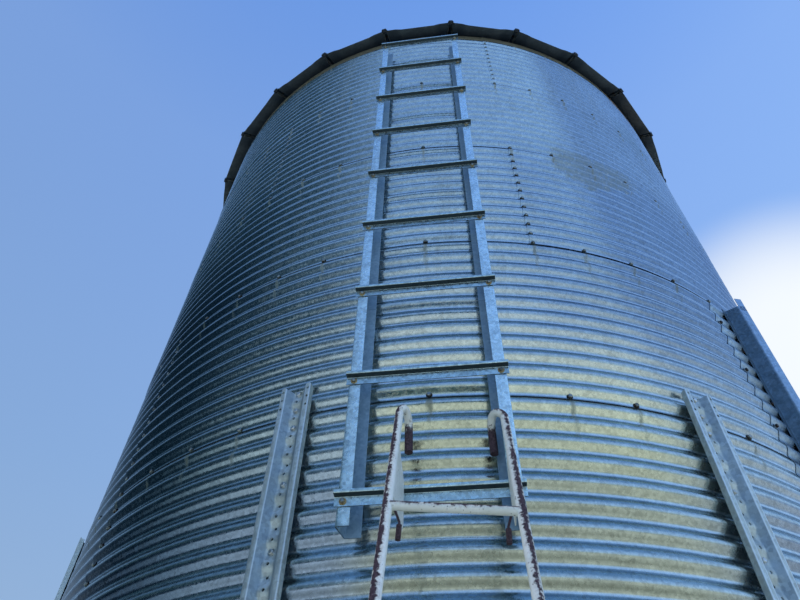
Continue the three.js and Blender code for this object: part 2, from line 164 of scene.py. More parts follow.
class Growth:
    """A Geometry Nodes tree with named inputs."""

    def __init__(self, name, sizes):
        self.tree = bpy.data.node_groups.new(name, "GeometryNodeTree")
        face = self.tree.interface
        face.new_socket("Geometry", in_out="OUTPUT", socket_type="NodeSocketGeometry")
        face.new_socket("Geometry", in_out="INPUT", socket_type="NodeSocketGeometry")
        self.identifiers = {}
        for title, kind in sizes.items():
            kind = "NodeSocketMaterial" if kind is bpy.types.Material else SOCKETS[kind]
            socket = face.new_socket(title, in_out="INPUT", socket_type=kind)
            self.identifiers[title] = socket.identifier
        self.start = self.tree.nodes.new("NodeGroupInput")

    def given(self, title):
        return Value(self.tree, self.start.outputs[title])

    def add(self, kind, settings=None, inputs=None, output=0):
        return add(self.tree, kind, settings, inputs, output)

    def vector(self, operation, *values):
        return self.add("ShaderNodeVectorMath", {"operation": operation}, values)

    def join(self, *parts):
        node = self.add("GeometryNodeJoinGeometry")
        for part in reversed(parts):
            self.tree.links.new(part.socket, node.socket.node.inputs[0])
        return node

    def finish(self, geometry, material):
        plain = self.add("GeometryNodeRealizeInstances", None, [geometry])
        if material:
            plain = self.add("GeometryNodeSetMaterial", None,
                             {"Geometry": plain, "Material": material})
        end = self.tree.nodes.new("NodeGroupOutput")
        self.tree.links.new(plain.socket, end.inputs[0])
        print("tree", self.tree.name, "has", len(self.tree.nodes), "nodes")
        return self


def piece(name, mesh):
    obj = bpy.data.objects.new(name, mesh)
    bpy.context.scene.collection.objects.link(obj)
    return obj


def baked(obj):
    """Keeps what a modifier makes as a plain mesh, and takes the modifier away."""
    depsgraph = bpy.context.evaluated_depsgraph_get()
    mesh = bpy.data.meshes.new_from_object(obj.evaluated_get(depsgraph), depsgraph=depsgraph)
    obj.modifiers.clear()
    obj.data = mesh
    return obj


def grow(name, growth, values, source=None):
    """Runs a tree on a mesh."""
    obj = piece(name, source or bpy.data.meshes.new(name))
    modifier = obj.modifiers.new("growth", "NODES")
    modifier.node_group = growth.tree
    for title, value in values.items():
        modifier[growth.identifiers[title]] = value
    return baked(obj)


def smooth(mesh, angle=35):
    mesh.shade_smooth()
    mesh.set_sharp_from_angle(angle=math.radians(angle))


def settle(obj, slot, *nodes):
    """Every piece of this bin rides on its one body."""
    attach(obj, "root")
    if nodes:
        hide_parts(*nodes)
    reach = [round(max(v.co[i] for v in obj.data.vertices), 4) for i in range(3)]
    print(obj.name, len(obj.data.polygons), "faces, up to", reach)
    return obj


# %% [markdown]
# Galvanised sheet is steel with a skin of zinc that froze in flat crystals. Each crystal
# mirrors a little differently, which is the spangle. A Voronoi texture gives the crystals,
# and each takes its own brightness and roughness. Years outdoors add dust, long streaks
# where water ran, and a chalky bloom, all of which dull the zinc.

# %% Zinc
def rgb(red, green, blue):
    """A colour as a screen shows it, 0 to 255, in the linear light that shaders use."""
    return tuple((c / 255) ** 2.2 for c in (red, green, blue)) + (1.0,)


class Paint:
    """A material's tree, with short names for the nodes that every finish here uses."""

    def __init__(self, name):
        self.material = bpy.data.materials.new(name)
        self.material.use_nodes = True
        self.tree = self.material.node_tree
        self.shader = self.tree.nodes["Principled BSDF"]
        place = self.add("ShaderNodeTexCoord").out("Object")
        self.place = self.add("ShaderNodeMapping", None, {"Vector": place, "Location": -AXIS})
        self.normal = self.add("ShaderNodeNewGeometry").out("Normal")

    def add(self, kind, settings=None, inputs=None, output=0):
        return add(self.tree, kind, settings, inputs, output)

    def vector(self, operation, *values):
        return self.add("ShaderNodeVectorMath", {"operation": operation}, values)

    def stretched(self, x, y, z):
        return self.vector("MULTIPLY", self.place, (x, y, z))

    def cut(self, vector):
        """The three parts of a vector; the first is the value itself, the others by out()."""
        return self.add("ShaderNodeSeparateXYZ", None, [vector])

    def noise(self, scale, detail=4.0, roughness=0.55, place=None):
        return self.add("ShaderNodeTexNoise", None, {"Vector": place or self.place, "Scale": scale,
                                                     "Detail": detail, "Roughness": roughness})

    def cells(self, size):
        return self.add("ShaderNodeTexVoronoi", None,
                        {"Vector": self.place, "Scale": 1 / size}).out("Color")

    def step(self, value, low, high):
        """Runs smoothly from 0 to 1 while the input goes from low to high."""
        return self.add("ShaderNodeMapRange", {"interpolation_type": "SMOOTHSTEP"},
                        [value, low, high, 0.0, 1.0])

    def near(self, value, centre, far, close):
        """1 where a value is close to a centre, 0 where it is far from it."""
        return self.step((value - centre).math("ABSOLUTE"), far, close)

    def mix(self, factor, colour, other, how="MIX"):
        return self.add("ShaderNodeMix", {"data_type": "RGBA", "blend_type": how},
                        {0: factor, 6: colour, 7: other}, output=2)

    def tint(self, factor, colour, glass):
        """Looks at a colour through coloured glass."""
        return self.mix(factor, colour, glass, "MULTIPLY")

    def grey(self, value):
        return self.add("ShaderNodeCombineColor", None, [value, value, value])

    def set(self, **values):
        for title, value in values.items():
            fill(self.tree, self.shader.inputs[title.replace("_", " ")], value)
        return self.material

    def bump(self, height, distance, strength=1.0, normal=None):
        return self.add("ShaderNodeBump", None, {"Height": height, "Distance": distance,
                                                 "Strength": strength, "Normal": normal})


def zinc(name, colour, crystal=0.011, rough=0.3, dirt=0.35, extra=None,
         tilt=0.09, spread=0.3, waves=0.0012):
    """Spangled zinc. `tilt` leans the crystals, and `spread` parts their tones."""
    paint = Paint(name)
    crystals = paint.cells(crystal)
    coarse = paint.cells(crystal * 2.7)
    shade = paint.add("ShaderNodeSeparateColor", None, [crystals])
    big = paint.add("ShaderNodeSeparateColor", None, [coarse])
    cloud = paint.noise(2.3, 5.0)
    runs = paint.noise(9.0, 6.0, 0.6, paint.stretched(1, 1, 0.09))
    grain = paint.noise(170.0, 3.0)
    tone = 0.77 + shade * spread + big * (spread * 0.4) + (cloud - 0.5) * 0.3 + (grain - 0.5) * 0.25
    grime = paint.step(runs, 0.5, 0.78) * dirt + paint.step(cloud, 0.55, 0.8) * dirt * 0.5
    base = paint.mix(grime, paint.tint(1.0, colour, paint.grey(tone)), rgb(112, 110, 92))
    roughness = rough + shade.out("Green") * 0.14 + grime * 0.4 + (grain - 0.5) * 0.1
    metal = 0.96 - grime * 0.6
    if extra:
        base, roughness, metal = extra(paint, base, roughness, metal)
    lean = paint.vector("SUBTRACT", paint.mix(0.35, crystals, coarse), (0.5, 0.5, 0.5))
    facet = paint.vector("MULTIPLY_ADD", lean, (tilt, tilt, tilt), paint.normal)
    height = paint.noise(7.0, 2.0) + grain * 0.02
    return paint.set(Base_Color=base, Roughness=roughness, Metallic=metal,
                     Normal=paint.bump(height, waves, 1.0, paint.vector("NORMALIZE", facet)))


def plain(name, colour, worn, rough, metal, speck=160.0):
    """A finish that is mottled between two colours and has a fine rough grain."""
    paint = Paint(name)
    patch = paint.noise(speck / 6, 5.0, 0.65)
    grain = paint.noise(speck * 3, 4.0)
    return paint.set(Base_Color=paint.mix(paint.step(patch, 0.35, 0.7), colour, worn),
                     Roughness=rough + (patch - 0.5) * 0.3 + (grain - 0.5) * 0.15,
                     Metallic=metal, Normal=paint.bump(grain, 0.0006, 0.6))


def shaded_below(colour, amount, shaded_back_span=None):
    """Painted shade: undersides, and a channel's back where one is given, are darkened and dulled.
    """
    def story(paint, base, roughness, metal):
        # Down-facing faces get a painted shade
        under = paint.step(paint.cut(paint.normal).out("Z"), -0.45, -0.8) * amount
        base = paint.mix(under, base, colour)
        if shaded_back_span:
            # The channel's back gets a painted shade
            inner = paint.step(paint.cut(paint.place).out("Y"), *shaded_back_span) * 0.72
            base = paint.mix(inner, base, rgb(76, 120, 160))
            under = under.math("MAXIMUM", inner)
        return base, roughness + under * 0.3, metal - under * 0.8
    return story


def bloom_and_painted_light(paint, base, roughness, metal):
    """Old zinc with a grey bloom, with painted shade on the slopes of a strip and a painted
    highlight on its bends.
    """
    bloom = paint.step(paint.noise(5.0, 5.0, 0.6), 0.3, 0.7)
    base = paint.mix(bloom * 0.3, base, rgb(156, 172, 166))
    across = paint.add("ShaderNodeAttribute", {"attribute_name": "across"}).out("Fac")
    slope_shade = paint.step(across, 0.014, 0.019) * paint.step(across, 0.0365, 0.033)
    base = paint.tint(slope_shade * 0.5, base, rgb(96, 134, 168))
    # A painted highlight along the bends
    bend = paint.near(across, 0.0365, 0.0032, 0.0012)
    bend = bend.math("MAXIMUM", paint.near(across, 0.0508, 0.003, 0.001))
    base = paint.mix(bend * 0.65, base, rgb(228, 238, 240))
    return base, roughness + 0.08 - bend * 0.1, metal - 0.25 - bloom * 0.15 + bend * 0.2


RAIL_BACK = (-1.912, -1.885)
# The roof, the ladder and its rungs get painted shade below, and the rails' back flange does too
ROOF_ZINC = zinc("roof_zinc", rgb(176, 184, 190), 0.016, 0.34, 0.5,
                 shaded_below(rgb(20, 46, 68), 0.96))
LADDER_ZINC = zinc("ladder_zinc", rgb(212, 234, 236), 0.009, 0.22, 0.16,
                   shaded_below(rgb(24, 44, 54), 0.98, RAIL_BACK), 0.07, 0.4)
# The rungs are a darker copy of the ladder's zinc: painted shade
SHADED_RUNG_ZINC = zinc("rung_zinc_shaded", rgb(178, 204, 212), 0.009, 0.22, 0.16,
                 shaded_below(rgb(24, 44, 54), 0.98), 0.07, 0.4)
LEG_ZINC = zinc("leg_zinc", rgb(196, 210, 212), 0.010, 0.3, 0.25, bloom_and_painted_light)
HOPPER_ZINC = zinc("hopper_zinc", rgb(178, 186, 192), 0.016, 0.32, 0.4)
SEAM_HEAD = plain("seam_bolt_zinc", rgb(150, 160, 162), rgb(86, 86, 80), 0.35, 0.85)
BOLT_HEAD = plain("bolt_head_steel", rgb(52, 54, 58), rgb(74, 56, 42), 0.42, 0.8)
WASHER = plain("washer_zinc", rgb(214, 222, 226), rgb(160, 160, 150), 0.3, 0.95)
BRASS = plain("yellow_passivated_bolt", rgb(192, 170, 124), rgb(122, 98, 66), 0.4, 0.6)
print("zinc, bolt and washer finishes made")

# %% [markdown]
# The wall carries its own story. Under each seam bolt a greenish stain runs down, drawn by
# the distance to the nearest bolt line and to the seam above. Every sheet came from its own
# coil, so a white noise on its number shifts its tone. One patch flakes on the right, and
# the plain band under the eave has gone brown, darkened further by painted shade. A painted
# shadow runs under each lap.
#
# Not all of it is age. Clean zinc is nearly a mirror, and each flank of a corrugation shows
# what lies below it or above it. A plain floor and sky can't give all of that back. So some
# tints here, set by the slope, the height and the side, stand in for a mirror image.

# %% Wall zinc
VALLEY = 0.0095
# Colours of painted reflections on the flanks
STRAW_REFLECTION, SLATE_BLUE, SEA_GREEN = rgb(250, 238, 180), rgb(130, 160, 170), rgb(160, 196, 198)


def wall_wear_and_painted_light(paint, base, roughness, metal):
    step, near, tint, mix = paint.step, paint.near, paint.tint, paint.mix
    axes = paint.cut(paint.place)
    azimuth = axes.math("ARCTAN2", axes.out("Y") * -1.0)
    height = axes.out("Z")
    pitches = azimuth / PITCH
    across = ((pitches + 0.44).math("FRACT") - 0.5).math("ABSOLUTE") * (PITCH * WALL_RADIUS)
    ring = (height - WALL_BOTTOM) / RING
    below = (1 - ring.math("FRACT")) * RING
    ragged = paint.noise(55.0, 5.0, 0.7, paint.stretched(1, 1, 0.16)) - 0.5
    blotch = paint.noise(26.0, 5.0, 0.7) - 0.5
    stain = step(across + ragged * 0.03, 0.011, 0.001) * step(below + ragged * 0.25, 0.2, 0.01)
    # A painted shadow in a thin line under each lap
    lap_shadow = step(below + blotch * 0.004, 0.013, 0.004) * 0.8

    # Each sheet is of its own coil
    number = paint.add("ShaderNodeCombineXYZ", None,
                       [ring.math("FLOOR"), ((pitches + 6.0) / 13).math("FLOOR"), 0.0])
    coil = paint.add("ShaderNodeTexWhiteNoise", None, {"Vector": number})
    base = tint(coil * 0.25, base, rgb(150, 166, 188))

    # The lower flank looks down and gets a painted reflection: pale straw in front, bluer at the
    # sides and higher up
    tip = paint.cut(paint.normal).out("Z")
    under = step(tip + blotch * 0.08, -0.05, -0.3)
    in_front = step(azimuth, -0.16, -0.03) * step(azimuth, 0.7, 0.32)
    to_right = step(azimuth, 0.36, 0.5) * step(azimuth, 1.4, 0.9)
    to_left = step(azimuth, -0.04, -0.15) * step(height, 3.5, 2.9)
    base = tint(under * step(height, 3.2, 2.5) * in_front * 0.7, base, STRAW_REFLECTION)
    base = tint(under * step(height, 2.75, 2.4) * 0.6, base, rgb(184, 194, 230))
    base = tint(under * to_right * 0.6, base, rgb(158, 174, 208))
    base = tint(under * to_left * 0.4, base, rgb(168, 196, 228))
    base = tint(under * step(height, 2.7, 3.7) * 0.6, base, rgb(176, 206, 244))

    # The upper flank looks up and gets a painted reflection: a cool green, darker to the left, and
    # painted shade in a darker belt at mid height
    upper = step(tip, 0.05, 0.4)
    belt_shade = near(height, 3.75, 0.95, 0.45) * step(azimuth.math("ABSOLUTE"), 1.4, 0.9)
    base = tint(upper * 0.45, base, SEA_GREEN)
    base = tint(upper * step(azimuth, 0.5, 0.1) * 0.4, base, rgb(152, 180, 176))
    base = tint(belt_shade * upper * 0.6, base, rgb(150, 174, 190))
    base = tint(belt_shade * step(azimuth, 0.12, 0.3) * 0.4, base, rgb(160, 178, 208))

    # Each valley gets a painted highlight, a thin bright line of sky, with a painted shade line
    # under it
    groove = ((height - WALL_BOTTOM - VALLEY) / CORRUGATION).math("FRACT")
    base = mix(near((groove + 0.5).math("FRACT"), 0.5, 0.075, 0.02) * 0.45, base,
               rgb(218, 232, 244))
    base = tint(near(groove, 0.87, 0.11, 0.03) * step(azimuth, -0.3, 0.2) * 0.45, base,
                rgb(108, 138, 164))

    # The left side gets a painted reflection of the dark part of its surroundings, less so near the
    # top
    turned = (azimuth + 1.25).math("ABSOLUTE")
    slate = step(turned, 1.17, 0.72) * (1 - step(height, 4.2, 5.2) * 0.7)
    deep = slate * step(turned, 1.0, 0.66) * step(height, 4.6, 3.6)
    base = tint(slate * 0.7, base, SLATE_BLUE)
    base = tint(deep * step(tip, 0.1, -0.2) * 0.9, base, rgb(96, 128, 150))

    # A patch where the bloom flakes off, and a grey one higher up
    patch = step(azimuth + blotch * 0.09, 0.365, 0.385) * step(azimuth + blotch * 0.12, 0.67, 0.6)
    foot = (azimuth - 0.46).math("ABSOLUTE") * 1.1 + blotch * 0.14 + 4.15
    patch = patch * step(height - foot, 0.0, 0.03) * step(height + blotch * 0.06, 4.53, 4.50)
    flakes = step(paint.noise(34.0, 4.0, 0.7, paint.stretched(1, 1, 2.5)), 0.62, 0.7) * patch
    grey = (step((azimuth - 0.80).math("ABSOLUTE") + blotch * 0.1, 0.1, 0.05)
            * step((height - 5.3).math("ABSOLUTE") + blotch * 0.2, 0.22, 0.1))
    patch = patch * step(paint.noise(48.0, 4.0, 0.7, paint.stretched(1, 1, 0.5)), 0.3, 0.55)
    base = mix(patch * 0.5 + grey * 0.3, base, rgb(112, 132, 140))
    base = mix(flakes * 0.7, base, rgb(214, 222, 226))

    # The plain band under the eave is dull and brown, darker with painted shade, and rusty in one
    # place
    eave_tint_and_shade = step(height, WALL_TOP - 0.075, WALL_TOP - 0.062) * 0.75
    rusty = (step((azimuth - 0.98).math("ABSOLUTE") + blotch * 0.3, 0.2, 0.1)
             * step(height + blotch * 0.3, WALL_TOP - 0.19, WALL_TOP - 0.1))
    base = mix(eave_tint_and_shade, base, rgb(110, 106, 84))
    base = mix(rusty * 0.7, base, rgb(176, 140, 108))
    base = mix(stain * 0.5, base, rgb(96, 104, 84))
    # The painted lap shadow
    base = mix(lap_shadow, base, rgb(24, 34, 48))
    roughness = roughness + stain * 0.25 + lap_shadow * 0.3 + patch * 0.15 + eave_tint_and_shade * 0.3
    return base, roughness, metal - stain * 0.5 - lap_shadow * 0.4 - patch * 0.3 - eave_tint_and_shade * 0.6


WALL_ZINC = zinc("wall_zinc", rgb(216, 225, 219), 0.0085, 0.15, 0.14, wall_wear_and_painted_light,
                 0.03, 0.26, 0.0004)
print("wall finish has", len(WALL_ZINC.node_tree.nodes), "nodes")

# %% [markdown]
# Folded sheet is the other way to make a part here: rails, rungs, uprights and door jambs
# are all strips that went through a press brake. `bent` gives a strip's outline with round
# bends from the middle line of its sheet, and `prism` carries an outline through rows.

# %% Folded sheet
def bent(path, thickness, radius=0.005, steps=3):
    """The closed outline of a folded strip, from the middle line of its sheet."""
    points = [Vector(point) for point in path]
    left, right = [], []
    for i, point in enumerate(points):
        before = (points[max(i, 1)] - points[max(i, 1) - 1]).normalized()
        after = (points[min(i + 1, len(points) - 1)] - points[min(i, len(points) - 2)]).normalized()
        turn = math.atan2(before.x * after.y - before.y * after.x, before.dot(after))
        side = Vector((-before.y, before.x))
        if abs(turn) < 1e-4:
            left.append(point + side * thickness / 2)
            right.append(point - side * thickness / 2)
            continue
        sign = 1 if turn > 0 else -1
        reach = radius * math.tan(abs(turn) / 2)
        centre = point - before * reach + side * radius * sign
        for j in range(steps + 1):
            angle = turn * j / steps
            arm = Matrix.Rotation(angle, 2) @ (side * -sign)
            left.append(centre + arm * (radius - sign * thickness / 2))
            right.append(centre + arm * (radius + sign * thickness / 2))
    return left + right[::-1]


def between(mesh, low, high):
    """A belt of faces between two closed loops of points."""
    for i in range(len(low)):
        j = (i + 1) % len(low)
        mesh.faces.new((low[i], low[j], high[j], high[i]))


def prism(rows):
    """A closed mesh through rows of points, each row a closed loop of the same length."""
    mesh = bmesh.new()
    loops = [[mesh.verts.new(point) for point in row] for row in rows]
    for low, high in zip(loops, loops[1:]):
        between(mesh, low, high)
    mesh.faces.new(loops[0][::-1])
    mesh.faces.new(loops[-1])
    return mesh


def along_z(outline, heights):
    return prism([[Vector((x, y, z)) for x, y in outline] for z in heights])


def along_x(outline, places):
    """An outline given in (y, z), carried along X."""
    return prism([[Vector((x, y, z)) for y, z in outline] for x in places])


def moved(mesh, matrix):
    bmesh.ops.transform(mesh, verts=mesh.verts, matrix=matrix)
    return mesh


def block(low, high):
    mesh = bmesh.new()
    bmesh.ops.create_cube(mesh, size=1.0)
    size = Vector(high) - Vector(low)
    middle = (Vector(high) + Vector(low)) / 2
    return moved(mesh, Matrix.Translation(middle) @ Matrix.Diagonal(size.to_4d()))


def together(name, parts, material, bevel=0.0):
    """Joins closed parts into one mesh whose faces look outwards."""
    whole = bpy.data.meshes.new(name)
    joined = bmesh.new()
    for part in parts:
        bmesh.ops.recalc_face_normals(part, faces=part.faces)
        scratch = bpy.data.meshes.new("part")
        part.to_mesh(scratch)
        joined.from_mesh(scratch)
        bpy.data.meshes.remove(scratch)
        part.free()
    if bevel:
        sharp = [edge for edge in joined.edges
                 if edge.is_manifold and edge.calc_face_angle() > math.radians(40)]
        bmesh.ops.bevel(joined, geom=sharp, offset=bevel, segments=1, affect="EDGES",
                        clamp_overlap=True)
    joined.to_mesh(whole)
    joined.free()
    whole.materials.append(material)
    smooth(whole)
    return whole


print("sheet folding ready")

# %% [markdown]
# The wall is a rule from end to end: a cosine along the height, rolled round the axis. A
# grid whose points move to an angle, a height and a radius says exactly that. Each sheet
# leans in a little on its way up, so the next one laps over it, and it swings in sideways
# so that its end slips behind its neighbour. The bolts sit in the valleys.

# %% Corrugated sheet tree
DEPTH = 0.00635


def corrugated_tree():
    tree = Growth("corrugated_sheet", {
        "From": float, "To": float, "Low": float, "High": float, "Radius": float, "Depth": float,
        "Corrugation": float, "Valley": float, "Lean": float, "Swing": float, "Flat": float,
        "Dent": float, "Sheet": float, "Columns": int, "Rows": int, "Axis": Vector,
        "Material": bpy.types.Material})
    g = tree.given
    grid = tree.add("GeometryNodeMeshGrid", None, [1.0, 1.0, g("Columns"), g("Rows")])
    place = tree.add("GeometryNodeInputPosition")
    cut = tree.add("ShaderNodeSeparateXYZ", None, [place])
    u = cut + 0.5
    v = cut.out("Y") + 0.5
    angle = g("From") + u * (g("To") - g("From"))
    z = g("Low") + v * (g("High") - g("Low"))
    wave = ((z - g("Valley")) / g("Corrugation") * math.tau).math("COSINE")
    calm = tree.add("ShaderNodeMapRange", {"interpolation_type": "SMOOTHSTEP"},
                    [z, g("Flat") + 0.012, g("Flat") - 0.03, 0.0, 1.0])
    around = tree.add("ShaderNodeCombineXYZ", None, [angle * 5.0, g("Low"), z * 2.2])
    dent = tree.add("ShaderNodeTexNoise", None, {"Vector": around, "Scale": 1.6, "Detail": 2.0})
    radius = (g("Radius") - wave * g("Depth") * calm - (v - 0.5) * g("Lean")
              - (u - 0.5) * g("Swing") + (dent - 0.5) * g("Dent"))
    point = tree.add("ShaderNodeCombineXYZ", None,
                     [radius * angle.math("SINE"), radius * angle.math("COSINE") * -1.0, z])
    point = tree.vector("ADD", point, g("Axis"))
    inner = tree.add("GeometryNodeSetPosition", None, {"Geometry": grid, "Position": point})
    outer = tree.add("GeometryNodeExtrudeMesh", None,
                     {"Mesh": inner, "Offset Scale": g("Sheet"), "Individual": False})
    back = tree.add("GeometryNodeFlipFaces", None, [inner])
    shell = tree.add("GeometryNodeMergeByDistance", None,
                     {"Geometry": tree.join(outer, back), "Distance": 0.00001})
    return tree.finish(shell, g("Material"))


CORRUGATED = corrugated_tree()

# %% [markdown]
# Four sheets make a ring, each a quarter of the way round, and the joints step from ring to
# ring so that no two meet at a corner. The two lower rings leave a gap for the door. On the
# real bin the rows of a sheet overlap those of the next, so each one here runs on a little
# past its own end.

# %% Wall sheets
SIDES = ["front", "right", "back", "left"]
QUARTER = BOLTS_ROUND // 4
DOOR_FROM, DOOR_TO = 6.5, 10.5
DOOR_RINGS = [(-6, DOOR_FROM), (DOOR_TO, 20), (20, 33), (33, 46)]
STAGGER = {3: -11, 4: -4, 5: -11}
LAP, OVER = 0.028, 0.022
SHEET = 0.0012
NO_FLAT = 99.0
WALL_SHEETS = {}
for ring in range(1, RINGS + 1):
    spans = DOOR_RINGS
    if ring in STAGGER:
        starts = [STAGGER[ring] + QUARTER * i for i in range(4)]
        spans = [(start, start + QUARTER) for start in starts]
    for side, span in zip(SIDES, spans):
        WALL_SHEETS[f"wall_ring_{ring}_{side}"] = (ring, *span)


def corrugated(name, start, end, low, high, **changes):
    """A sheet between two azimuths in radians and two heights."""
    sizes = {"From": start, "To": end, "Low": low, "High": high, "Depth": DEPTH,
             "Corrugation": CORRUGATION, "Lean": 0.0030, "Swing": 0.0, "Flat": NO_FLAT,
             "Dent": 0.0016, "Rows": 125, "Axis": AXIS}
    sheet = grow(name, CORRUGATED, {**sizes, **changes})
    smooth(sheet.data)
    return sheet


for name, (ring, start, end) in WALL_SHEETS.items():
    low = WALL_BOTTOM + (ring - 1) * RING
    past = 0.0 if end == DOOR_FROM else LAP / WALL_RADIUS
    sheet = corrugated(
        "sheet_" + name, start * PITCH, end * PITCH + past, low + 0.0002,
        low + RING + (OVER if ring < RINGS else -0.0006), Radius=WALL_RADIUS - SHEET / 2,
        Valley=low + VALLEY, Swing=0.0026, Flat=WALL_TOP - 0.07 if ring == RINGS else NO_FLAT,
        Sheet=SHEET, Columns=int((end - start) * 3) + 1, Material=WALL_ZINC)
    settle(sheet, "wall_steel", name)

# %% [markdown]
# Bolts repeat by the hundred, so each has few faces: a washer, a hexagon and a chamfer. A
# mesh of loose points says where they are, with the way that each looks as an attribute,
# and one tree sets a bolt on every point and gives it a turn of its own.

# %% Bolt tree
def bolt_tree():
    tree = Growth("bolts", {"Across": float, "Height": float, "Washer": float,
                            "Washer thickness": float, "Seed": int,
                            "Head material": bpy.types.Material,
                            "Washer material": bpy.types.Material})
    g = tree.given
    thick, tall, corner = g("Washer thickness"), g("Height"), g("Across") * 0.577

    def painted(kind, sizes, rise, material):
        solid = tree.add("GeometryNodeMesh" + kind, None, sizes)
        spot = tree.add("ShaderNodeCombineXYZ", None, [0.0, 0.0, rise])
        lifted = tree.add("GeometryNodeTransform", None, {"Geometry": solid, "Translation": spot})
        return tree.add("GeometryNodeSetMaterial", None,
                        {"Geometry": lifted, "Material": g(material)})

    washer = painted("Cylinder", {"Vertices": 12, "Radius": g("Washer"), "Depth": thick},
                     thick / 2, "Washer material")
    hexagon = painted("Cylinder", {"Vertices": 6, "Radius": corner, "Depth": tall},
                      thick + tall / 2, "Head material")
    crown = painted("Cone", {"Vertices": 6, "Radius Top": g("Across") * 0.4,
                             "Radius Bottom": corner, "Depth": tall * 0.25},
                    thick + tall, "Head material")
    way = tree.add("GeometryNodeInputNamedAttribute", {"data_type": "FLOAT_VECTOR"},
                   {"Name": "way"})
    aim = tree.add("FunctionNodeAlignRotationToVector", {"axis": "Z"}, {"Vector": way})
    set_on = tree.add("GeometryNodeInstanceOnPoints", None,
                      {"Points": g("Geometry"), "Instance": tree.join(washer, hexagon, crown),
                       "Rotation": aim})
    turn = tree.add("FunctionNodeRandomValue", {"data_type": "FLOAT"},
                    {"Max": math.tau, "Seed": g("Seed")}, output=1)
    turned = tree.add("GeometryNodeRotateInstances", None, {
        "Instances": set_on, "Rotation": tree.add("ShaderNodeCombineXYZ", None, [0.0, 0.0, turn])})
    return tree.finish(turned, None)


BOLTS = bolt_tree()


def bolts(name, slot, places, across=0.013, height=0.006, washer=0.0105, seed=1,
          metals=(BOLT_HEAD, WASHER)):
    """Sets bolts at (point, way) places; a way is the direction that a head looks."""
    mesh = bpy.data.meshes.new(name)
    mesh.from_pydata([point for point, _ in places], [], [])
    ways = mesh.attributes.new("way", "FLOAT_VECTOR", "POINT")
    ways.data.foreach_set("vector", [c for _, way in places for c in way])
    obj = grow(name, BOLTS, {"Across": across, "Height": height, "Washer": washer,
                             "Washer thickness": 0.0018, "Seed": seed,
                             "Head material": metals[0], "Washer material": metals[1]}, mesh)
    smooth(obj.data, 30)
    return settle(obj, slot)


# %% [markdown]
# A bolt sits in the valley just above every seam, one to a pitch, and eleven climb each
# joint between two sheets. All of them stand a little to one side of the joint's line, in
# the lap. None is set where the door's opening is.

# %% Wall bolts
BOLT_SHIFT = 0.06
SEAM_METALS = (SEAM_HEAD, BOLT_HEAD)


def on_wall(pitches, z, out=0.0):
    azimuth = (pitches + BOLT_SHIFT) * PITCH
    radius = WALL_RADIUS - DEPTH + SHEET / 2 + 0.0012 + out
    return polar(radius, azimuth, z), polar(1, azimuth) - AXIS


def is_door(pitches, ring):
    return DOOR_FROM - 0.7 < pitches < DOOR_TO + 0.7 and ring < 2


seam_places = [on_wall(k, WALL_BOTTOM + ring * RING + VALLEY + 0.001)
               for ring in range(RINGS) for k in range(BOLTS_ROUND) if not is_door(k, ring)]
joint_places = [on_wall(start, WALL_BOTTOM + (ring - 1) * RING + VALLEY + i * CORRUGATION)
                for ring, start, _ in WALL_SHEETS.values() if start != DOOR_TO
                for i in range(1, 12)]
bolts("bolts_seams", "wall_steel", seam_places, seed=3, metals=SEAM_METALS)
bolts("bolts_sheet_joints", "wall_steel", joint_places, seed=5, metals=SEAM_METALS)

# %% [markdown]
# One more tree does the rest of the repeating here: it copies a mesh along a line or round
# the axis, and welds the copies where they meet.

# %% Repeating tree
def repeat_tree():
    tree = Growth("repeat", {"Count": int, "Turn": float, "Step": Vector, "Axis": Vector,
                             "Weld": float, "Material": bpy.types.Material})
    g = tree.given
    line = tree.add("GeometryNodeMeshLine", {"mode": "OFFSET"},
                    {"Count": g("Count"), "Offset": g("Step")})
    number = tree.add("GeometryNodeInputIndex")
    copies = tree.add("GeometryNodeInstanceOnPoints", None,
                      {"Points": line, "Instance": g("Geometry")})
    turn = tree.add("ShaderNodeCombineXYZ", None, [0.0, 0.0, number * g("Turn")])
    copies = tree.add("GeometryNodeRotateInstances", None,
                      {"Instances": copies, "Rotation": turn, "Pivot Point": g("Axis"),
                       "Local Space": False})
    solid = tree.add("GeometryNodeRealizeInstances", None, [copies])
    welded = tree.add("GeometryNodeMergeByDistance", None,
                      {"Geometry": solid, "Distance": g("Weld")})
    return tree.finish(welded, g("Material"))


REPEAT = repeat_tree()


def repeated(name, mesh, count, material, turn=0.0, step=(0, 0, 0), weld=0.00002):
    obj = grow(name, REPEAT, {"Count": count, "Turn": turn, "Step": Vector(step), "Axis": AXIS,
                              "Weld": weld, "Material": material}, mesh)
    smooth(obj.data)
    return obj


def thickened(obj, thickness, offset):
    """Gives an open sheet its thickness."""
    skin = obj.modifiers.new("sheet", "SOLIDIFY")
    skin.thickness = thickness
    skin.offset = offset
    smooth(baked(obj).data, 30)
    return obj


# %% [markdown]
# An upright is one strip rolled to a W: a narrow web against the wall, a slope on either
# side, an outer flat, and an edge that turns back. The rolls also crimp the web, so that it
# beds into the corrugation, with a bolt hole in every crest and valley. One corrugation of
# the strip is built as an open sheet with its holes, the tree repeats it down the leg, and
# the sheet gets its thickness at the very end, which also lines the holes.

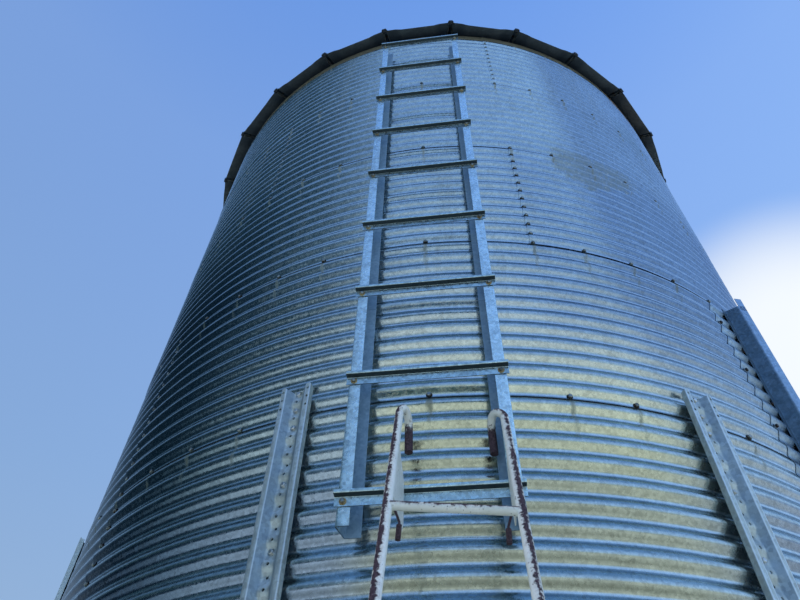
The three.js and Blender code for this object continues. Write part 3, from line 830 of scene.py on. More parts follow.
# %% Upright strip
LEG_STEPS = [0, 7, 13, 20, 26, 33, 39, 46]
FIRST_LEG = -8.914
LEG_TOP = SEAM_A + 0.098
LEG_RADIUS = WALL_RADIUS + 0.0073
LEG_SHEET = 0.0034
VALLEY_Z = SEAM_A + VALLEY
STRIP_SIDE = [(0.0523, 0.0107), (0.0523, 0.0266), (0.0515, 0.0284), (0.0493, 0.0293),
              (0.0443, 0.0293), (0.0393, 0.0293), (0.0368, 0.0293), (0.0348, 0.0282)]
WEB_DROP = 0.0105
DROPS = [0.010, 0.006, 0.003, 0.001, 0, 0.001, 0.003, 0.006, WEB_DROP, WEB_DROP, WEB_DROP]
HOLE = 0.0045
HOLE_ROWS = (2, 6)
BOLT_ROWS = (1, 0, -1, -4, -7, -10, -12, -12.5)
PLATE_THICK = 0.010
STRIP_FOOT = PLATE_THICK - 0.001


def web_depth(z):
    return 0.0065 - 0.0050 * math.cos(math.tau * (z - VALLEY_Z) / CORRUGATION)


def strip_row(z, top=False):
    """One row across the strip, as (x, y, z); at the top end the corners are cut back."""
    web = web_depth(z)
    foot = 0.0135 + (web - 0.002) * 0.79
    half = STRIP_SIDE + [(foot + 0.0013, web + 0.0016), (foot - 0.0018, web), (0.0055, web)]
    half = [(x, -(LEG_RADIUS + depth), z - drop * top) for (x, depth), drop in zip(half, DROPS)]
    middle = [(0.0, -(LEG_RADIUS + web), z - WEB_DROP * top)]
    return half + middle + [(-x, y, height) for x, y, height in reversed(half)]


def strip_cell(top_z, flat_holes=(), top=False):
    """One corrugation of the strip. A hole takes two rows and two columns of the grid."""
    levels = [0, 1.45, 2.45, 3.45, 4.45, 5.45, 6.45, 7.45, 8]
    rows = [strip_row(top_z - level * CORRUGATION / 8, top and level == 0) for level in levels]
    mesh = bmesh.new()
    grid = [[mesh.verts.new(point) for point in row] for row in rows]
    last = len(grid[0]) - 1
    cut = {(row, last // 2) for row in HOLE_ROWS}
    cut |= {(row, column) for row in flat_holes for column in (4, last - 4)}
    taken = set()
    for row, column in cut:
        middle = grid[row][column].co.copy()
        ring = [grid[row + i][column + j] for i, j in
                ((-1, -1), (-1, 0), (-1, 1), (0, 1), (1, 1), (1, 0), (1, -1), (0, -1))]
        inner = []
        for vert in ring:
            arm = vert.co - middle
            flat = Vector((arm.x, 0, arm.z)).normalized() * HOLE
            z = middle.z + flat.z
            y = -(LEG_RADIUS + web_depth(z)) if column == last // 2 else middle.y
            inner.append(mesh.verts.new((middle.x + flat.x, y, z)))
        for k in range(8):
            mesh.faces.new((ring[k], inner[k], inner[(k + 1) % 8], ring[(k + 1) % 8]))
        taken |= {(row - 1, column - 1), (row - 1, column), (row, column - 1), (row, column)}
    for i in range(len(grid) - 1):
        for j in range(last):
            if (i, j) not in taken:
                mesh.faces.new((grid[i][j], grid[i + 1][j], grid[i + 1][j + 1], grid[i][j + 1]))
    for row, column in cut:
        mesh.verts.remove(grid[row][column])
    return mesh


def as_mesh(name, part):
    mesh = bpy.data.meshes.new(name)
    part.to_mesh(mesh)
    part.free()
    return mesh


def whole_strip():
    cells = int((LEG_TOP - STRIP_FOOT) / CORRUGATION)
    middle = as_mesh("strip", strip_cell(LEG_TOP - 2 * CORRUGATION))
    run = repeated("strip", middle, cells - 2, LEG_ZINC, step=(0, 0, -CORRUGATION))
    joined = bmesh.new()
    joined.from_mesh(run.data)
    joined.from_mesh(as_mesh("strip_top", strip_cell(LEG_TOP, HOLE_ROWS, True)))
    joined.from_mesh(as_mesh("strip_next", strip_cell(LEG_TOP - CORRUGATION, HOLE_ROWS[:1])))
    upper = strip_row(LEG_TOP - cells * CORRUGATION)
    lower = [joined.verts.new((x, y, STRIP_FOOT)) for x, y, _ in upper]
    upper = [joined.verts.new(point) for point in upper]
    for j in range(len(upper) - 1):
        joined.faces.new((upper[j], lower[j], lower[j + 1], upper[j + 1]))
    bmesh.ops.remove_doubles(joined, verts=joined.verts, dist=0.00005)
    bmesh.ops.recalc_face_normals(joined, faces=joined.faces)
    joined.to_mesh(run.data)
    joined.free()
    return thickened(run, LEG_SHEET, 0.0)


strip = whole_strip()
strip_mesh = strip.data
bpy.data.objects.remove(strip)
print("upright strip has", len(strip_mesh.polygons), "faces")

# %% [markdown]
# Eight uprights stand round the bin, where the solids have them. Each is the same strip
# turned to its azimuth, on a foot plate with four anchors. The distance from the strip's
# middle line is kept as an attribute, so that its finish knows slopes from bends.

# %% Uprights
across = strip_mesh.attributes.new("across", "FLOAT", "POINT")
across.data.foreach_set("value", [abs(vert.co.x) for vert in strip_mesh.vertices])
foot_plate = together("foot_plate", [block((-0.095, -LEG_RADIUS - 0.0905, 0),
                                           (0.095, -LEG_RADIUS + 0.0595, PLATE_THICK))],
                      LEG_ZINC, 0.002)
leg_bolts, anchors = [], []
for i, step in enumerate(LEG_STEPS):
    name = f"upright_strip_{i + 1}"
    turn = facing((FIRST_LEG + step) * PITCH)
    joined = bmesh.new()
    joined.from_mesh(strip_mesh)
    joined.from_mesh(foot_plate)
    mesh = as_mesh(name, joined)
    mesh.transform(turn)
    mesh.materials.append(LEG_ZINC)
    smooth(mesh, 30)
    settle(piece(name, mesh), "leg_steel", f"upright_{i + 1}")
    way = turn.to_3x3() @ Vector((0, -1, 0))
    for z in (VALLEY_Z + k * CORRUGATION for k in BOLT_ROWS):
        seat = LEG_RADIUS + web_depth(z) + LEG_SHEET / 2 + 0.0003
        leg_bolts.append((turn @ Vector((0, -seat, z)), way))
    anchors += [(turn @ Vector((x, -LEG_RADIUS - 0.0155 + y, PLATE_THICK)), Vector((0, 0, 1)))
                for x in (-0.075, 0.075) for y in (-0.055, 0.055)]
bolts("bolts_uprights", "leg_steel", leg_bolts, washer=0.0112, seed=11, metals=(WASHER, WASHER))
bolts("bolts_anchors", "leg_steel", anchors, 0.019, 0.010, 0.0165, 13)

# %% [markdown]
# The roof is one panel made 26 times: a flat tray between two pressed ribs, whose edges
# swell a little where they meet the ribs. Python builds the panel between two rib tops,
# each point on the straight line from one rib to the next, and the tree turns its copies
# round the axis.

# %% Roof sectors
ROOF_PANELS = 26
PANEL = math.tau / ROOF_PANELS
ROOF_CUTS = [-4, 3, 9, 16, 22]
EAVE_RADIUS = 1.916
FILL_RADIUS = 0.33
ROOF_SLOPE = math.radians(30)
RIB_HALF, RIB_TOP_HALF, RIB_RISE, DECK = 0.018, 0.014, 0.034, 0.008


def deck_under(radius):
    clears = (WALL_RADIUS + 0.007 - RIB_HALF * math.sin(PANEL / 2)) / math.cos(PANEL / 2)
    return WALL_TOP + 0.0003 + (clears - radius) * math.tan(ROOF_SLOPE)


def roof_row(radius, tip, under):
    """Points from one rib's crown, across the tray, to the next rib's crown."""
    def at(rib, side, rise, out=0.0):
        height = deck_under(radius) + rise - under
        return Matrix.Rotation(rib * PANEL, 3, "Z") @ Vector((side, -(radius + out), height))

    top = DECK + RIB_RISE
    crown = [(0.0, top), (RIB_TOP_HALF - 0.004, top), (RIB_TOP_HALF, top - 0.005),
             (RIB_HALF - 0.001, DECK + 0.012)]
    start, end = at(0, RIB_HALF, DECK), at(1, -RIB_HALF, DECK)
    width = (end - start).length
    swell = [(0.0, 0.016), (min(0.060, width * 0.3), 0.016), (min(0.100, width * 0.42), 0.0)]
    swell = [(far / width, lift) for far, lift in swell]
    swell += [(1 - share, lift) for share, lift in reversed(swell)]
    tray = [start.lerp(end, share) + Vector((0, 0, lift)) for share, lift in swell]
    return ([at(0, side, rise, tip) for side, rise in crown] + tray
            + [at(1, -side, rise, tip) for side, rise in reversed(crown)])


def roof_panel():
    mesh = bmesh.new()
    radii = [EAVE_RADIUS, EAVE_RADIUS - 0.004, 1.7, 1.4, 1.1, 0.8, 0.55, FILL_RADIUS]
    rows = [roof_row(radius, 0.010 if n < 2 else 0.0, 0.006 if n == 0 else 0.0015)
            for n, radius in enumerate(radii)]
    grid = [[mesh.verts.new(point) for point in row] for row in rows]
    for low, high in zip(grid, grid[1:]):
        for i in range(len(low) - 1):
            mesh.faces.new((low[i], low[i + 1], high[i + 1], high[i]))
    return mesh


def roof_sheet(name, first, last):
    """One tray after another from rib to rib; the sheet's thickness comes at the end."""
    panel = as_mesh(name, roof_panel())
    panel.transform(facing((first + 0.5) * PANEL))
    return thickened(repeated(name, panel, last - first, ROOF_ZINC, PANEL), 0.0012, 1.0)


for side, first, last in zip(SIDES, ROOF_CUTS, ROOF_CUTS[1:]):
    settle(roof_sheet(f"roof_sector_{side}", first, last), "roof_steel", f"roof_{side}")

# %% [markdown]
# Where a rib ends at the eave, a soft dark plug closes it: from below these show as a row
# of rounded lumps along the roof's edge. Seven bolts hold each rib down.

# %% Roof fixings
SLOPE_WAY = Vector((0, -math.sin(ROOF_SLOPE), math.cos(ROOF_SLOPE)))
PLUG_RISE = deck_under(EAVE_RADIUS) + DECK - 0.006
RIB_BOLT_RADII = (1.86, 1.62, 1.38, 1.14, 0.9, 0.66, 0.42)
RIB_CLOSURE = plain("rib_end_closure", rgb(34, 42, 50), rgb(28, 34.5, 41.1), 0.8, 0.0, 90.0)
rib_plugs, rib_bolts = [], []
for rib in range(ROOF_PANELS):
    turn = facing((rib + 0.5) * PANEL)
    plug = block((-0.0195, -EAVE_RADIUS - 0.0095, 0), (0.0195, -EAVE_RADIUS + 0.012, 0.045))
    bmesh.ops.bevel(plug, geom=plug.edges[:], offset=0.009, segments=3, affect="EDGES")
    rib_plugs.append(moved(plug, turn @ Matrix.Translation((0, 0, PLUG_RISE))))
    for radius in RIB_BOLT_RADII:
        spot = Vector((0, -radius, deck_under(radius) + DECK + RIB_RISE - 0.0008))
        rib_bolts.append((turn @ spot, turn.to_3x3() @ SLOPE_WAY))
settle(piece("rib_end_plugs", together("rib_end_plugs", rib_plugs, RIB_CLOSURE)), "roof_steel")
bolts("bolts_roof_ribs", "roof_steel", rib_bolts, 0.010, 0.005, 0.009, 17, (BOLT_HEAD, BOLT_HEAD))

# %% [markdown]
# The fixed ladder is two channel rails with folded rungs, each rung half a ring above the
# last, and it stands off the wall on short brackets. It comes in two lengths that meet at a
# splice. The rails are prisms; the rungs are one mesh that the tree repeats up a line.

# %% Fixed ladder
RAIL_FACE = -(WALL_RADIUS + 0.100)
RAIL_CENTRE = 0.220
LADDER_X = 0.016
RUNG_PITCH = RING / 2
RUNG_RISE = 0.013
LADDER_FOOT = SEAM_A - 0.585 * RING
LADDER_SPLICE = SEAM_A + RUNG_PITCH + RUNG_RISE - 0.032
LADDER_HEAD = SEAM_A + 3.555 * RING
RAIL_SHEET, RAIL_DEPTH = 0.0030, 0.065
TREAD_FRONT = RAIL_FACE - 0.021
RUNG_HALF = 0.245
STANDOFF_TALL = 0.060
TO_FRONT = Vector((0, -1, 0))
ladder_bolts = []


def rail_outline(side):
    s = RAIL_SHEET
    back = RAIL_FACE + RAIL_DEPTH - s / 2
    path = [(-0.0185, RAIL_FACE + s / 2), (0.0185 - s / 2, RAIL_FACE + s / 2),
            (0.0065 - s / 2, back), (-0.0385, back)]
    return [(LADDER_X + side * (RAIL_CENTRE + x), y) for x, y in bent(path, s, 0.0045)]


def rung_mesh(z):
    """A tread with a small lip in front and a deep flange that is bolted to the rails."""
    front, seat = TREAD_FRONT + 0.0013, RAIL_FACE - 0.0014
    path = [(front, z + 0.009), (front, z - 0.0013), (seat, z - 0.0013), (seat, z - 0.030)]
    return along_x(bent(path, 0.0026, 0.0035), [LADDER_X - RUNG_HALF, LADDER_X + RUNG_HALF])


def standoff(side, z):
    x = LADDER_X + side * (RAIL_CENTRE - 0.0315)
    seat = -(WALL_RADIUS + 0.007) + abs(x) * math.tan(PITCH / 2) - 0.0003
    near = x + side * 0.0015
    path = [(near, RAIL_FACE + RAIL_DEPTH - 0.002), (near, seat - 0.002),
            (x + side * 0.034, seat - 0.002)]
    place = Vector((x + side * 0.020, seat - 0.0040, z + STANDOFF_TALL / 2))
    ladder_bolts.append((AXIS + place, TO_FRONT))
    return along_z(bent(path, 0.0035, 0.004), [z, z + STANDOFF_TALL])


def splice(side):
    """A short plate behind the joint of a rail's two lengths."""
    x = LADDER_X + side * (RAIL_CENTRE - 0.003)
    y = RAIL_FACE + RAIL_SHEET + 0.0002
    return block((x - 0.013, y, LADDER_SPLICE - 0.1), (x + 0.013, y + 0.003, LADDER_SPLICE + 0.105))


def ladder_part(name, node, z0, z1, rungs, standoffs, splices=()):
    parts = [splice(side) for side in splices]
    for side in (-1, 1):
        parts.append(along_z(rail_outline(side), [z0, z1]))
        parts += [standoff(side, z) for z in standoffs]
    mesh = together(name, parts, LADDER_ZINC, 0.0005)
    mesh.transform(Matrix.Translation(AXIS))
    settle(piece(name, mesh), "ladder_steel", node)
    first = rung_mesh(SEAM_A + RUNG_RISE + rungs[0] * RUNG_PITCH)
    tread = together(name + "_rungs", [first], SHADED_RUNG_ZINC, 0.0005)
    tread.transform(Matrix.Translation(AXIS))
    steps = repeated(name + "_rungs", tread, len(rungs), SHADED_RUNG_ZINC, step=(0, 0, RUNG_PITCH))
    settle(steps, "ladder_steel", node)


LOWER_RUNGS, UPPER_RUNGS = range(-1, 1), range(1, 8)
ladder_part("ladder_rails_lower", "ladder_lower", LADDER_FOOT, LADDER_SPLICE - 0.0003,
            LOWER_RUNGS, [LADDER_FOOT + 0.040, LADDER_SPLICE - 0.120], (-1, 1))
ladder_part("ladder_rails_upper", "ladder_upper", LADDER_SPLICE, LADDER_HEAD, UPPER_RUNGS,
            [LADDER_SPLICE + 0.700, LADDER_SPLICE + 1.600, LADDER_HEAD - 0.090])
rung_bolts = []
for k in [*LOWER_RUNGS, *UPPER_RUNGS]:
    z = SEAM_A + RUNG_RISE - 0.0165 + k * RUNG_PITCH
    rung_bolts += [(AXIS + Vector((LADDER_X + side * (RAIL_CENTRE + 0.002), RAIL_FACE - 0.0028, z)),
                    TO_FRONT) for side in (-1, 1)]
bolts("bolts_rungs", "ladder_steel", rung_bolts, 0.011, 0.006, 0.0102, 23, (SEAM_HEAD, BRASS))
bolts("bolts_ladder", "ladder_steel", ladder_bolts, 0.012, 0.006, 0.0102, 29, SEAM_METALS)

# %% [markdown]
# The leaning ladder is welded from round tube and painted white. Its finish reads a UV map
# with the way round the tube and the way along it, so that rust can follow one edge.

# %% White paint
def white_paint():
    """Rust keeps to one side of each tube, and takes all of the hooks' ends."""
    paint = Paint("white_paint")
    uv = paint.cut(paint.add("ShaderNodeUVMap", {"uv_map": "tube"}))
    ragged = paint.noise(95.0, 9.0, 0.8)
    coarse = paint.noise(14.0, 5.0, 0.6)
    fine = paint.noise(260.0, 4.0, 0.7)
    edge = (uv - 0.5).math("ABSOLUTE") + (ragged - 0.5) * 0.6 + (coarse - 0.5) * 0.3
    rust = paint.step(edge, 0.09, 0.07)
    hook = paint.step(uv.out("Y") + (ragged - 0.5) * 0.16, 0.07, 0.10)
    chips = paint.step(paint.noise(150.0, 3.0, 0.6), 0.66, 0.69)
    rust = rust.math("MAXIMUM", hook * paint.step(ragged, 0.3, 0.34)).math("MAXIMUM", chips * 0.9)
    chalk = paint.mix(paint.step(coarse, 0.4, 0.75) * 0.5, rgb(244, 248, 244), rgb(204, 214, 204))
    brown = paint.mix(paint.step(fine, 0.35, 0.65), rgb(46, 36, 44), rgb(92, 74, 82))
    halo = paint.step(edge, 0.2, 0.1) * 0.3
    base = paint.mix(rust, paint.mix(halo, chalk, rgb(160, 136, 120)), brown)
    return paint.set(Base_Color=base, Roughness=0.4 + rust * 0.5, Metallic=0.0,
                     Normal=paint.bump(fine * 0.3 - rust * 0.7, 0.001))


WHITE_PAINT = white_paint()
print("white paint has", len(WHITE_PAINT.node_tree.nodes), "nodes")


def tube(path, radius, sides=20, twist=0.0, start=0.0):
    """A closed round bar along a path. Its UV map runs once round it, and in metres along."""
    points = [Vector(point) for point in path]
    mesh = bmesh.new()
    layer = mesh.loops.layers.uv.new("tube")
    ways = [(after - before).normalized()
            for before, after in zip(points[:1] + points, points[1:] + points[-1:])]
    side = ways[0].cross(Vector((0, 1, 0))).normalized()
    loops, marks, run = [], [], start
    for i, point in enumerate(points):
        side = (side - ways[i] * side.dot(ways[i])).normalized()
        other = ways[i].cross(side)
        run += (point - points[i - 1]).length if i else 0.0
        loops.append([mesh.verts.new(point + (side * math.cos(a) + other * math.sin(a)) * radius)
                      for a in (math.tau * j / sides + twist for j in range(sides))])
        marks.append(run)
    for n in range(len(loops) - 1):
        for j in range(sides):
            k = (j + 1) % sides
            face = mesh.faces.new((loops[n][j], loops[n][k], loops[n + 1][k], loops[n + 1][j]))
            for loop, uv in zip(face.loops, ((j, n), (j + 1, n), (j + 1, n + 1), (j, n + 1))):
                loop[layer].uv = (uv[0] / sides, marks[uv[1]])
    for ring, mark in ((loops[0][::-1], marks[0]), (loops[-1], marks[-1])):
        for loop in mesh.faces.new(ring).loops:
            loop[layer].uv = (0.5, mark)
    return mesh


# %% [markdown]
# The leaning ladder is bent from tube at its top: each rail curls over the fixed ladder's
# rung and hangs down behind it. The whole ladder also stands a little twisted. So its
# points are given on its own plane, across and along, and a matrix leans and twists that
# plane into place.

# %% Leaning ladder
LEAN = math.radians(67.3)
TWIST = math.radians(6.85)
LEAN_AT = Vector((0.085, -2.049, SEAM_A - RUNG_PITCH + 0.018))
TUBE, TUBE_HALF = 0.0114, 0.143
HOOK_START, HOOK_FOOT = 0.221, SEAM_A - 0.270
HOOK_LEGS = {-1: Vector((-0.038, -1.922)), 1: Vector((0.191, -1.891))}
RUST_SIDE = {-1: math.radians(-118), 1: math.radians(-66)}
lean = (Matrix.Translation(LEAN_AT) @ Matrix.Rotation(LEAN - math.pi / 2, 4, "X")
        @ Matrix.Rotation(TWIST, 4, "Z"))


def on_lean(x, s):
    return lean @ Vector((x, 0, s))


def hook_path(crest, leg):
    """Over the top of a rail: in towards the other rail, over, and straight down."""
    start = math.pi / 2 - LEAN
    reach = (leg - crest.xy).length / (1 + math.cos(start))
    bend = Vector((leg.x, crest.y))
    path = []
    for i in range(17):
        angle = start + (math.pi - start) * i / 16
        t = (math.cos(start) - math.cos(angle)) / (1 + math.cos(start))
        plan = crest.xy * (1 - t) ** 2 + bend * 2 * t * (1 - t) + leg * t ** 2
        path.append(Vector((plan.x, plan.y, crest.z + reach * (math.sin(angle) - math.sin(start)))))
    return path + [Vector((leg.x, leg.y, HOOK_FOOT))]


def leaning_rails():
    parts = []
    for side in (-1, 1):
        x = side * TUBE_HALF
        unit = (on_lean(x, 1) - on_lean(x, 0)).normalized()
        to_ground = -(on_lean(x, 0).z - 0.022) / unit.z
        straight = [on_lean(x, to_ground + (HOOK_START - to_ground) * i / 40) for i in range(41)]
        hook = hook_path(on_lean(x, HOOK_START), HOOK_LEGS[side])
        parts.append(tube(straight + hook[1:], TUBE, twist=RUST_SIDE[side],
                          start=to_ground - HOOK_START))
        foot = on_lean(x, to_ground)
        parts.append(block((foot.x - 0.02, foot.y - 0.026, 0),
                           (foot.x + 0.02, foot.y + 0.026, 0.026)))
    return parts


def gusset(side):
    """A plate that holds the ladder off the fixed ladder's rung."""
    lip = TREAD_FRONT - 0.0003
    top, foot = on_lean(side * TUBE_HALF, 0.060), on_lean(side * TUBE_HALF, -0.150)
    level = LEAN_AT.z
    x = top.x - side * 0.009
    outline = [(top.y, top.z), (foot.y, foot.z), (lip - 0.020, level - 0.132),
               (lip, level - 0.097), (lip, level + 0.014)]
    return along_x(outline, [x - 0.0015, x + 0.0015])


def drop_rod(points):
    """A thin bent rod that hangs from a gusset, with a flattened weight at its end."""
    path = [Vector(point) for point in points]
    end = path[-1]
    return [tube(path[:2] + [path[1].lerp(end, 0.3)], 0.0028, 8, start=1.0),
            tube([path[1].lerp(end, t) for t in (0.15, 0.3, 0.8, 1.0)], 0.0062, 10, start=1.0)]


FIRST_TUBE_RUNG, TUBE_RUNG_PITCH, TUBE_RUNGS = -0.184, 0.305, 8
ROD_Y = -2.0746
RODS = [((-0.060, 2.2955), (-0.0385, 2.2343), (-0.0416, 2.1935)),
        ((0.2095, 2.2486), (0.1962, 2.2119), (0.1941, 2.1731))]
rung_path = [on_lean(-TUBE_HALF + 2 * TUBE_HALF * i / 12, FIRST_TUBE_RUNG) for i in range(13)]
rung_tube = tube(rung_path, 0.0105, 16, twist=math.radians(-138), start=-1.0)
parts = leaning_rails() + [gusset(-1), gusset(1)]
for rod in RODS:
    parts += drop_rod([(x, ROD_Y, z) for x, z in rod])
rails = together("leaning_ladder_rails", parts, WHITE_PAINT)
rungs = together("leaning_ladder_rungs", [rung_tube], WHITE_PAINT)
for mesh in (rails, rungs):
    mesh.transform(Matrix.Translation(AXIS))
settle(piece("leaning_ladder_rails", rails), "white_paint", "leaning_ladder")
step = on_lean(0, -TUBE_RUNG_PITCH) - on_lean(0, 0)
settle(repeated("leaning_ladder_rungs", rungs, TUBE_RUNGS, WHITE_PAINT, step=step),
       "white_paint", "leaning_ladder")

# %% [markdown]
# The walk-in door stands in a deep frame of folded sheet: two jambs with a lip, a sill, a
# head and a ribbed leaf. It is built facing front and then turned to its own azimuth. Strips
# of the wall's own corrugation lie over the wall beside each jamb and are bolted to it.

# %% Door frame
DOOR_HALF = (DOOR_TO - DOOR_FROM) / 2 * PITCH
DOOR_AZIMUTH = (DOOR_TO + DOOR_FROM) / 2 * PITCH
SEAT_RADIUS = (WALL_RADIUS + 0.007) * math.cos(PITCH / 2) + 0.0003
JAMB_X = SEAT_RADIUS * math.sin(DOOR_HALF)
JAMB_Y = -SEAT_RADIUS * math.cos(DOOR_HALF)
FRAME_FACE = JAMB_Y - 0.060
FRAME_FOOT = WALL_BOTTOM + 0.012
FRAME_HEAD = WALL_BOTTOM + 2 * RING
HORN = 0.048
JAMB_SHEET = 0.003


def jamb_painted_light(paint, base, roughness, metal):
    """Painted shade darkens the jambs; the outer lip, which catches the sky, gets a painted
    highlight.
    """
    out = (math.sin(DOOR_AZIMUTH), -math.cos(DOOR_AZIMUTH), 0.0)
    depth = paint.add("ShaderNodeVectorMath", {"operation": "DOT_PRODUCT"},
                      [paint.place, out], output=1)
    lip = paint.step(depth, -FRAME_FACE - 0.008, -FRAME_FACE + 0.002)
    worn = paint.step(paint.noise(22.0, 6.0, 0.7), 0.35, 0.7)
    jamb_shade = paint.mix(worn * 0.5, rgb(128, 148, 160), rgb(170, 184, 192))
    # The outer lip gets a painted highlight, and the rest a painted shade
    base = paint.tint(1.0, base, paint.mix(lip, jamb_shade, rgb(226, 234, 240)))
    return base, roughness + (1 - lip) * 0.12, metal - (1 - lip) * 0.12


DOOR_ZINC = zinc("door_zinc", rgb(176, 196, 214), 0.010, 0.3, 0.3, jamb_painted_light)
FLANGE_ZINC = zinc("door_flange_zinc", rgb(150, 170, 186), 0.010, 0.26, 0.35, None, 0.05, 0.34)


def jamb(side):
    s = JAMB_SHEET
    tail = (JAMB_X + 0.026 * math.cos(DOOR_HALF), JAMB_Y + 0.026 * math.sin(DOOR_HALF) - 0.003)
    lip = [(JAMB_X - 0.025 + s / 2, FRAME_FACE - 0.020 - s / 2),
           (JAMB_X - s / 2, FRAME_FACE - 0.001)]
    path = lip + [(JAMB_X - s / 2, JAMB_Y - 0.003), tail]
    whole, horn = ([(side * x, y) for x, y in bent(line, s)] for line in (path, lip))
    near, far = sorted((side * (JAMB_X - 0.0045), side * (JAMB_X - 0.0015)))
    return [along_z(whole, [FRAME_FOOT, FRAME_HEAD]),
            along_z(horn, [FRAME_HEAD - 0.03, FRAME_HEAD + HORN]),
            block((near, JAMB_Y - 0.004, FRAME_FOOT), (far, JAMB_Y + 0.022, FRAME_HEAD - 0.001))]


def door_piece(name, parts, node, bevel=0.0005):
    mesh = together(name, parts, DOOR_ZINC, bevel)
    mesh.transform(facing(DOOR_AZIMUTH))
    settle(piece(name, mesh), "door_steel", node)


def cross_piece(z, lip, seat):
    """The sill or the head: an angle with its lip up or down, from jamb to jamb."""
    front = FRAME_FACE + 0.002
    path = [(front, z + lip), (front, z + seat), (JAMB_Y, z + seat)]
    return [along_x(bent(path, JAMB_SHEET), [-DOOR_INSIDE, DOOR_INSIDE])]


def door_leaf(ribs=9):
    y = FRAME_FACE + 0.0063
    low, high = FRAME_FOOT + 0.0063, FRAME_HEAD - 0.0123
    parts = [block((-DOOR_INSIDE, y + 0.003, low), (DOOR_INSIDE, y + 0.008, high))]
    for i in range(ribs):
        z = low + (high - low) * (i + 0.5) / ribs
        parts.append(block((0.04 - DOOR_INSIDE, y, z - 0.03),
                           (DOOR_INSIDE - 0.04, y + 0.004, z + 0.03)))
    return parts


DOOR_INSIDE = JAMB_X - 0.0053
door_piece("door_frame_left", jamb(-1), "door_jamb_left")
door_piece("door_frame_right", jamb(1), "door_jamb_right")
door_piece("door_frame_sill", cross_piece(FRAME_FOOT, 0.040, 0.002), "door_sill")
door_piece("door_frame_head", cross_piece(FRAME_HEAD, -0.046, -0.008), "door_head")
door_piece("door_leaf_sheet", door_leaf(), "door_leaf", bevel=0.0015)

# %% [markdown]
# A flange beside each jamb is one more corrugated sheet, so the wall's tree makes it. It
# lies on the wall's outside, a narrow strip to a ring, with bolts that change sides as they
# climb.

# %% Door flanges
FLANGES = [("left", DOOR_FROM, -1, 0.118, -0.0003, 0.0025),
           ("right", DOOR_TO, 1, 0.068, 0.0022, 0.0050)]
frame_bolts = []
for name, edge, side, width, rise, bolt_rise in FLANGES:
    near = edge * PITCH
    far = near + side * width / WALL_RADIUS
    for ring in (1, 2):
        foot = WALL_BOTTOM + (ring - 1) * RING
        flange = corrugated(
            f"door_flange_{name}_{ring}", min(near, far), max(near, far),
            foot + 0.012 * (ring == 1), foot + RING - 0.002 * (ring == 1),
            Radius=WALL_RADIUS + rise, Valley=foot + VALLEY, Sheet=0.0016, Columns=9,
            Material=FLANGE_ZINC)
        settle(flange, "door_steel", f"door_jamb_{name}")
        for i in range(0, 12, 2):
            away = side * (0.024, width - 0.022)[i // 2 % 2]
            frame_bolts.append(on_wall((near + away / WALL_RADIUS) / PITCH - BOLT_SHIFT,
                                       foot + VALLEY + i * CORRUGATION, bolt_rise))
bolts("bolts_door_frame", "door_steel", frame_bolts, seed=31)

# %% [markdown]
# Turned parts come from a profile of radius and height, spun round the axis: the fill
# collar and its lid at the roof's peak, and the outlet's spout with its flange.

# %% Turned parts
SEGMENTS = 96


def turned(name, profile, material, slot, node):
    mesh = bmesh.new()
    loops = [[mesh.verts.new(polar(radius, math.tau * j / SEGMENTS, z)) for j in range(SEGMENTS)]
             for radius, z in profile]
    for low, high in zip(loops, loops[1:] + loops[:1]):
        between(mesh, low, high)
    bmesh.ops.remove_doubles(mesh, verts=mesh.verts, dist=1e-5)
    settle(piece(name, together(name, [mesh], material)), slot, node)


base, top = collar_low[2], collar_high[2]
collar = [(0.300, base), (0.302, base), (0.302, top - 0.004), (0.3065, top), (0.3293, top),
          (0.3293, top - 0.003), (0.308, top - 0.003), (0.305, top - 0.006),
          (0.305, base + 0.014), (0.3293, base + 0.002), (0.3293, base)]
turned("fill_collar", collar, ROOF_ZINC, "roof_steel", "roof_collar")
base, top = (corner[2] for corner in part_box("fill_lid"))
lid = [(0.0, base + 0.002), (0.34, base + 0.002), (0.3475, base), (0.352, base + 0.002),
       (0.352, base + 0.014), (0.346, base + 0.0165), (0.30, base + 0.023), (0.20, base + 0.042),
       (0.10, base + 0.061), (0.06, base + 0.0685), (0.0, top)]
turned("fill_cap", lid, ROOF_ZINC, "roof_steel", "fill_lid")
base, top = (corner[2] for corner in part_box("outlet_spout"))
flange_top = base + 0.010
spout = [(0.188, base), (0.188, top), (0.193, top), (0.193, base + 0.014), (0.197, flange_top),
         (0.250, flange_top), (0.250, base)]
turned("spout", spout, HOPPER_ZINC, "hopper_steel", "outlet_spout")
flange_bolts = [(polar(0.226, math.tau * i / 12, flange_top), Vector((0, 0, 1)))
                for i in range(12)]
bolts("bolts_spout", "hopper_steel", flange_bolts, seed=43)

# %% [markdown]
# The hopper is a cone of lapped plates below a plain band. One plate with its standing lap
# is a prism, and the tree turns six of them round the axis for each quarter.

# %% Hopper
HOPPER_TOP = WALL_BOTTOM - 0.00015
HOPPER_SLOPE = math.radians(40)
HOPPER_FALL = math.tan(HOPPER_SLOPE)
BAND = 0.060
CONE_TOP = HOPPER_TOP - BAND
OUTLET_RADIUS = 0.200
WALL_OUTER = WALL_RADIUS + 0.007
CONE_FOOT = CONE_TOP - (WALL_OUTER - OUTLET_RADIUS) * HOPPER_FALL
PLATES = 6
PLATE = math.tau / 4 / PLATES
FIRST_PLATE = -6 * PITCH


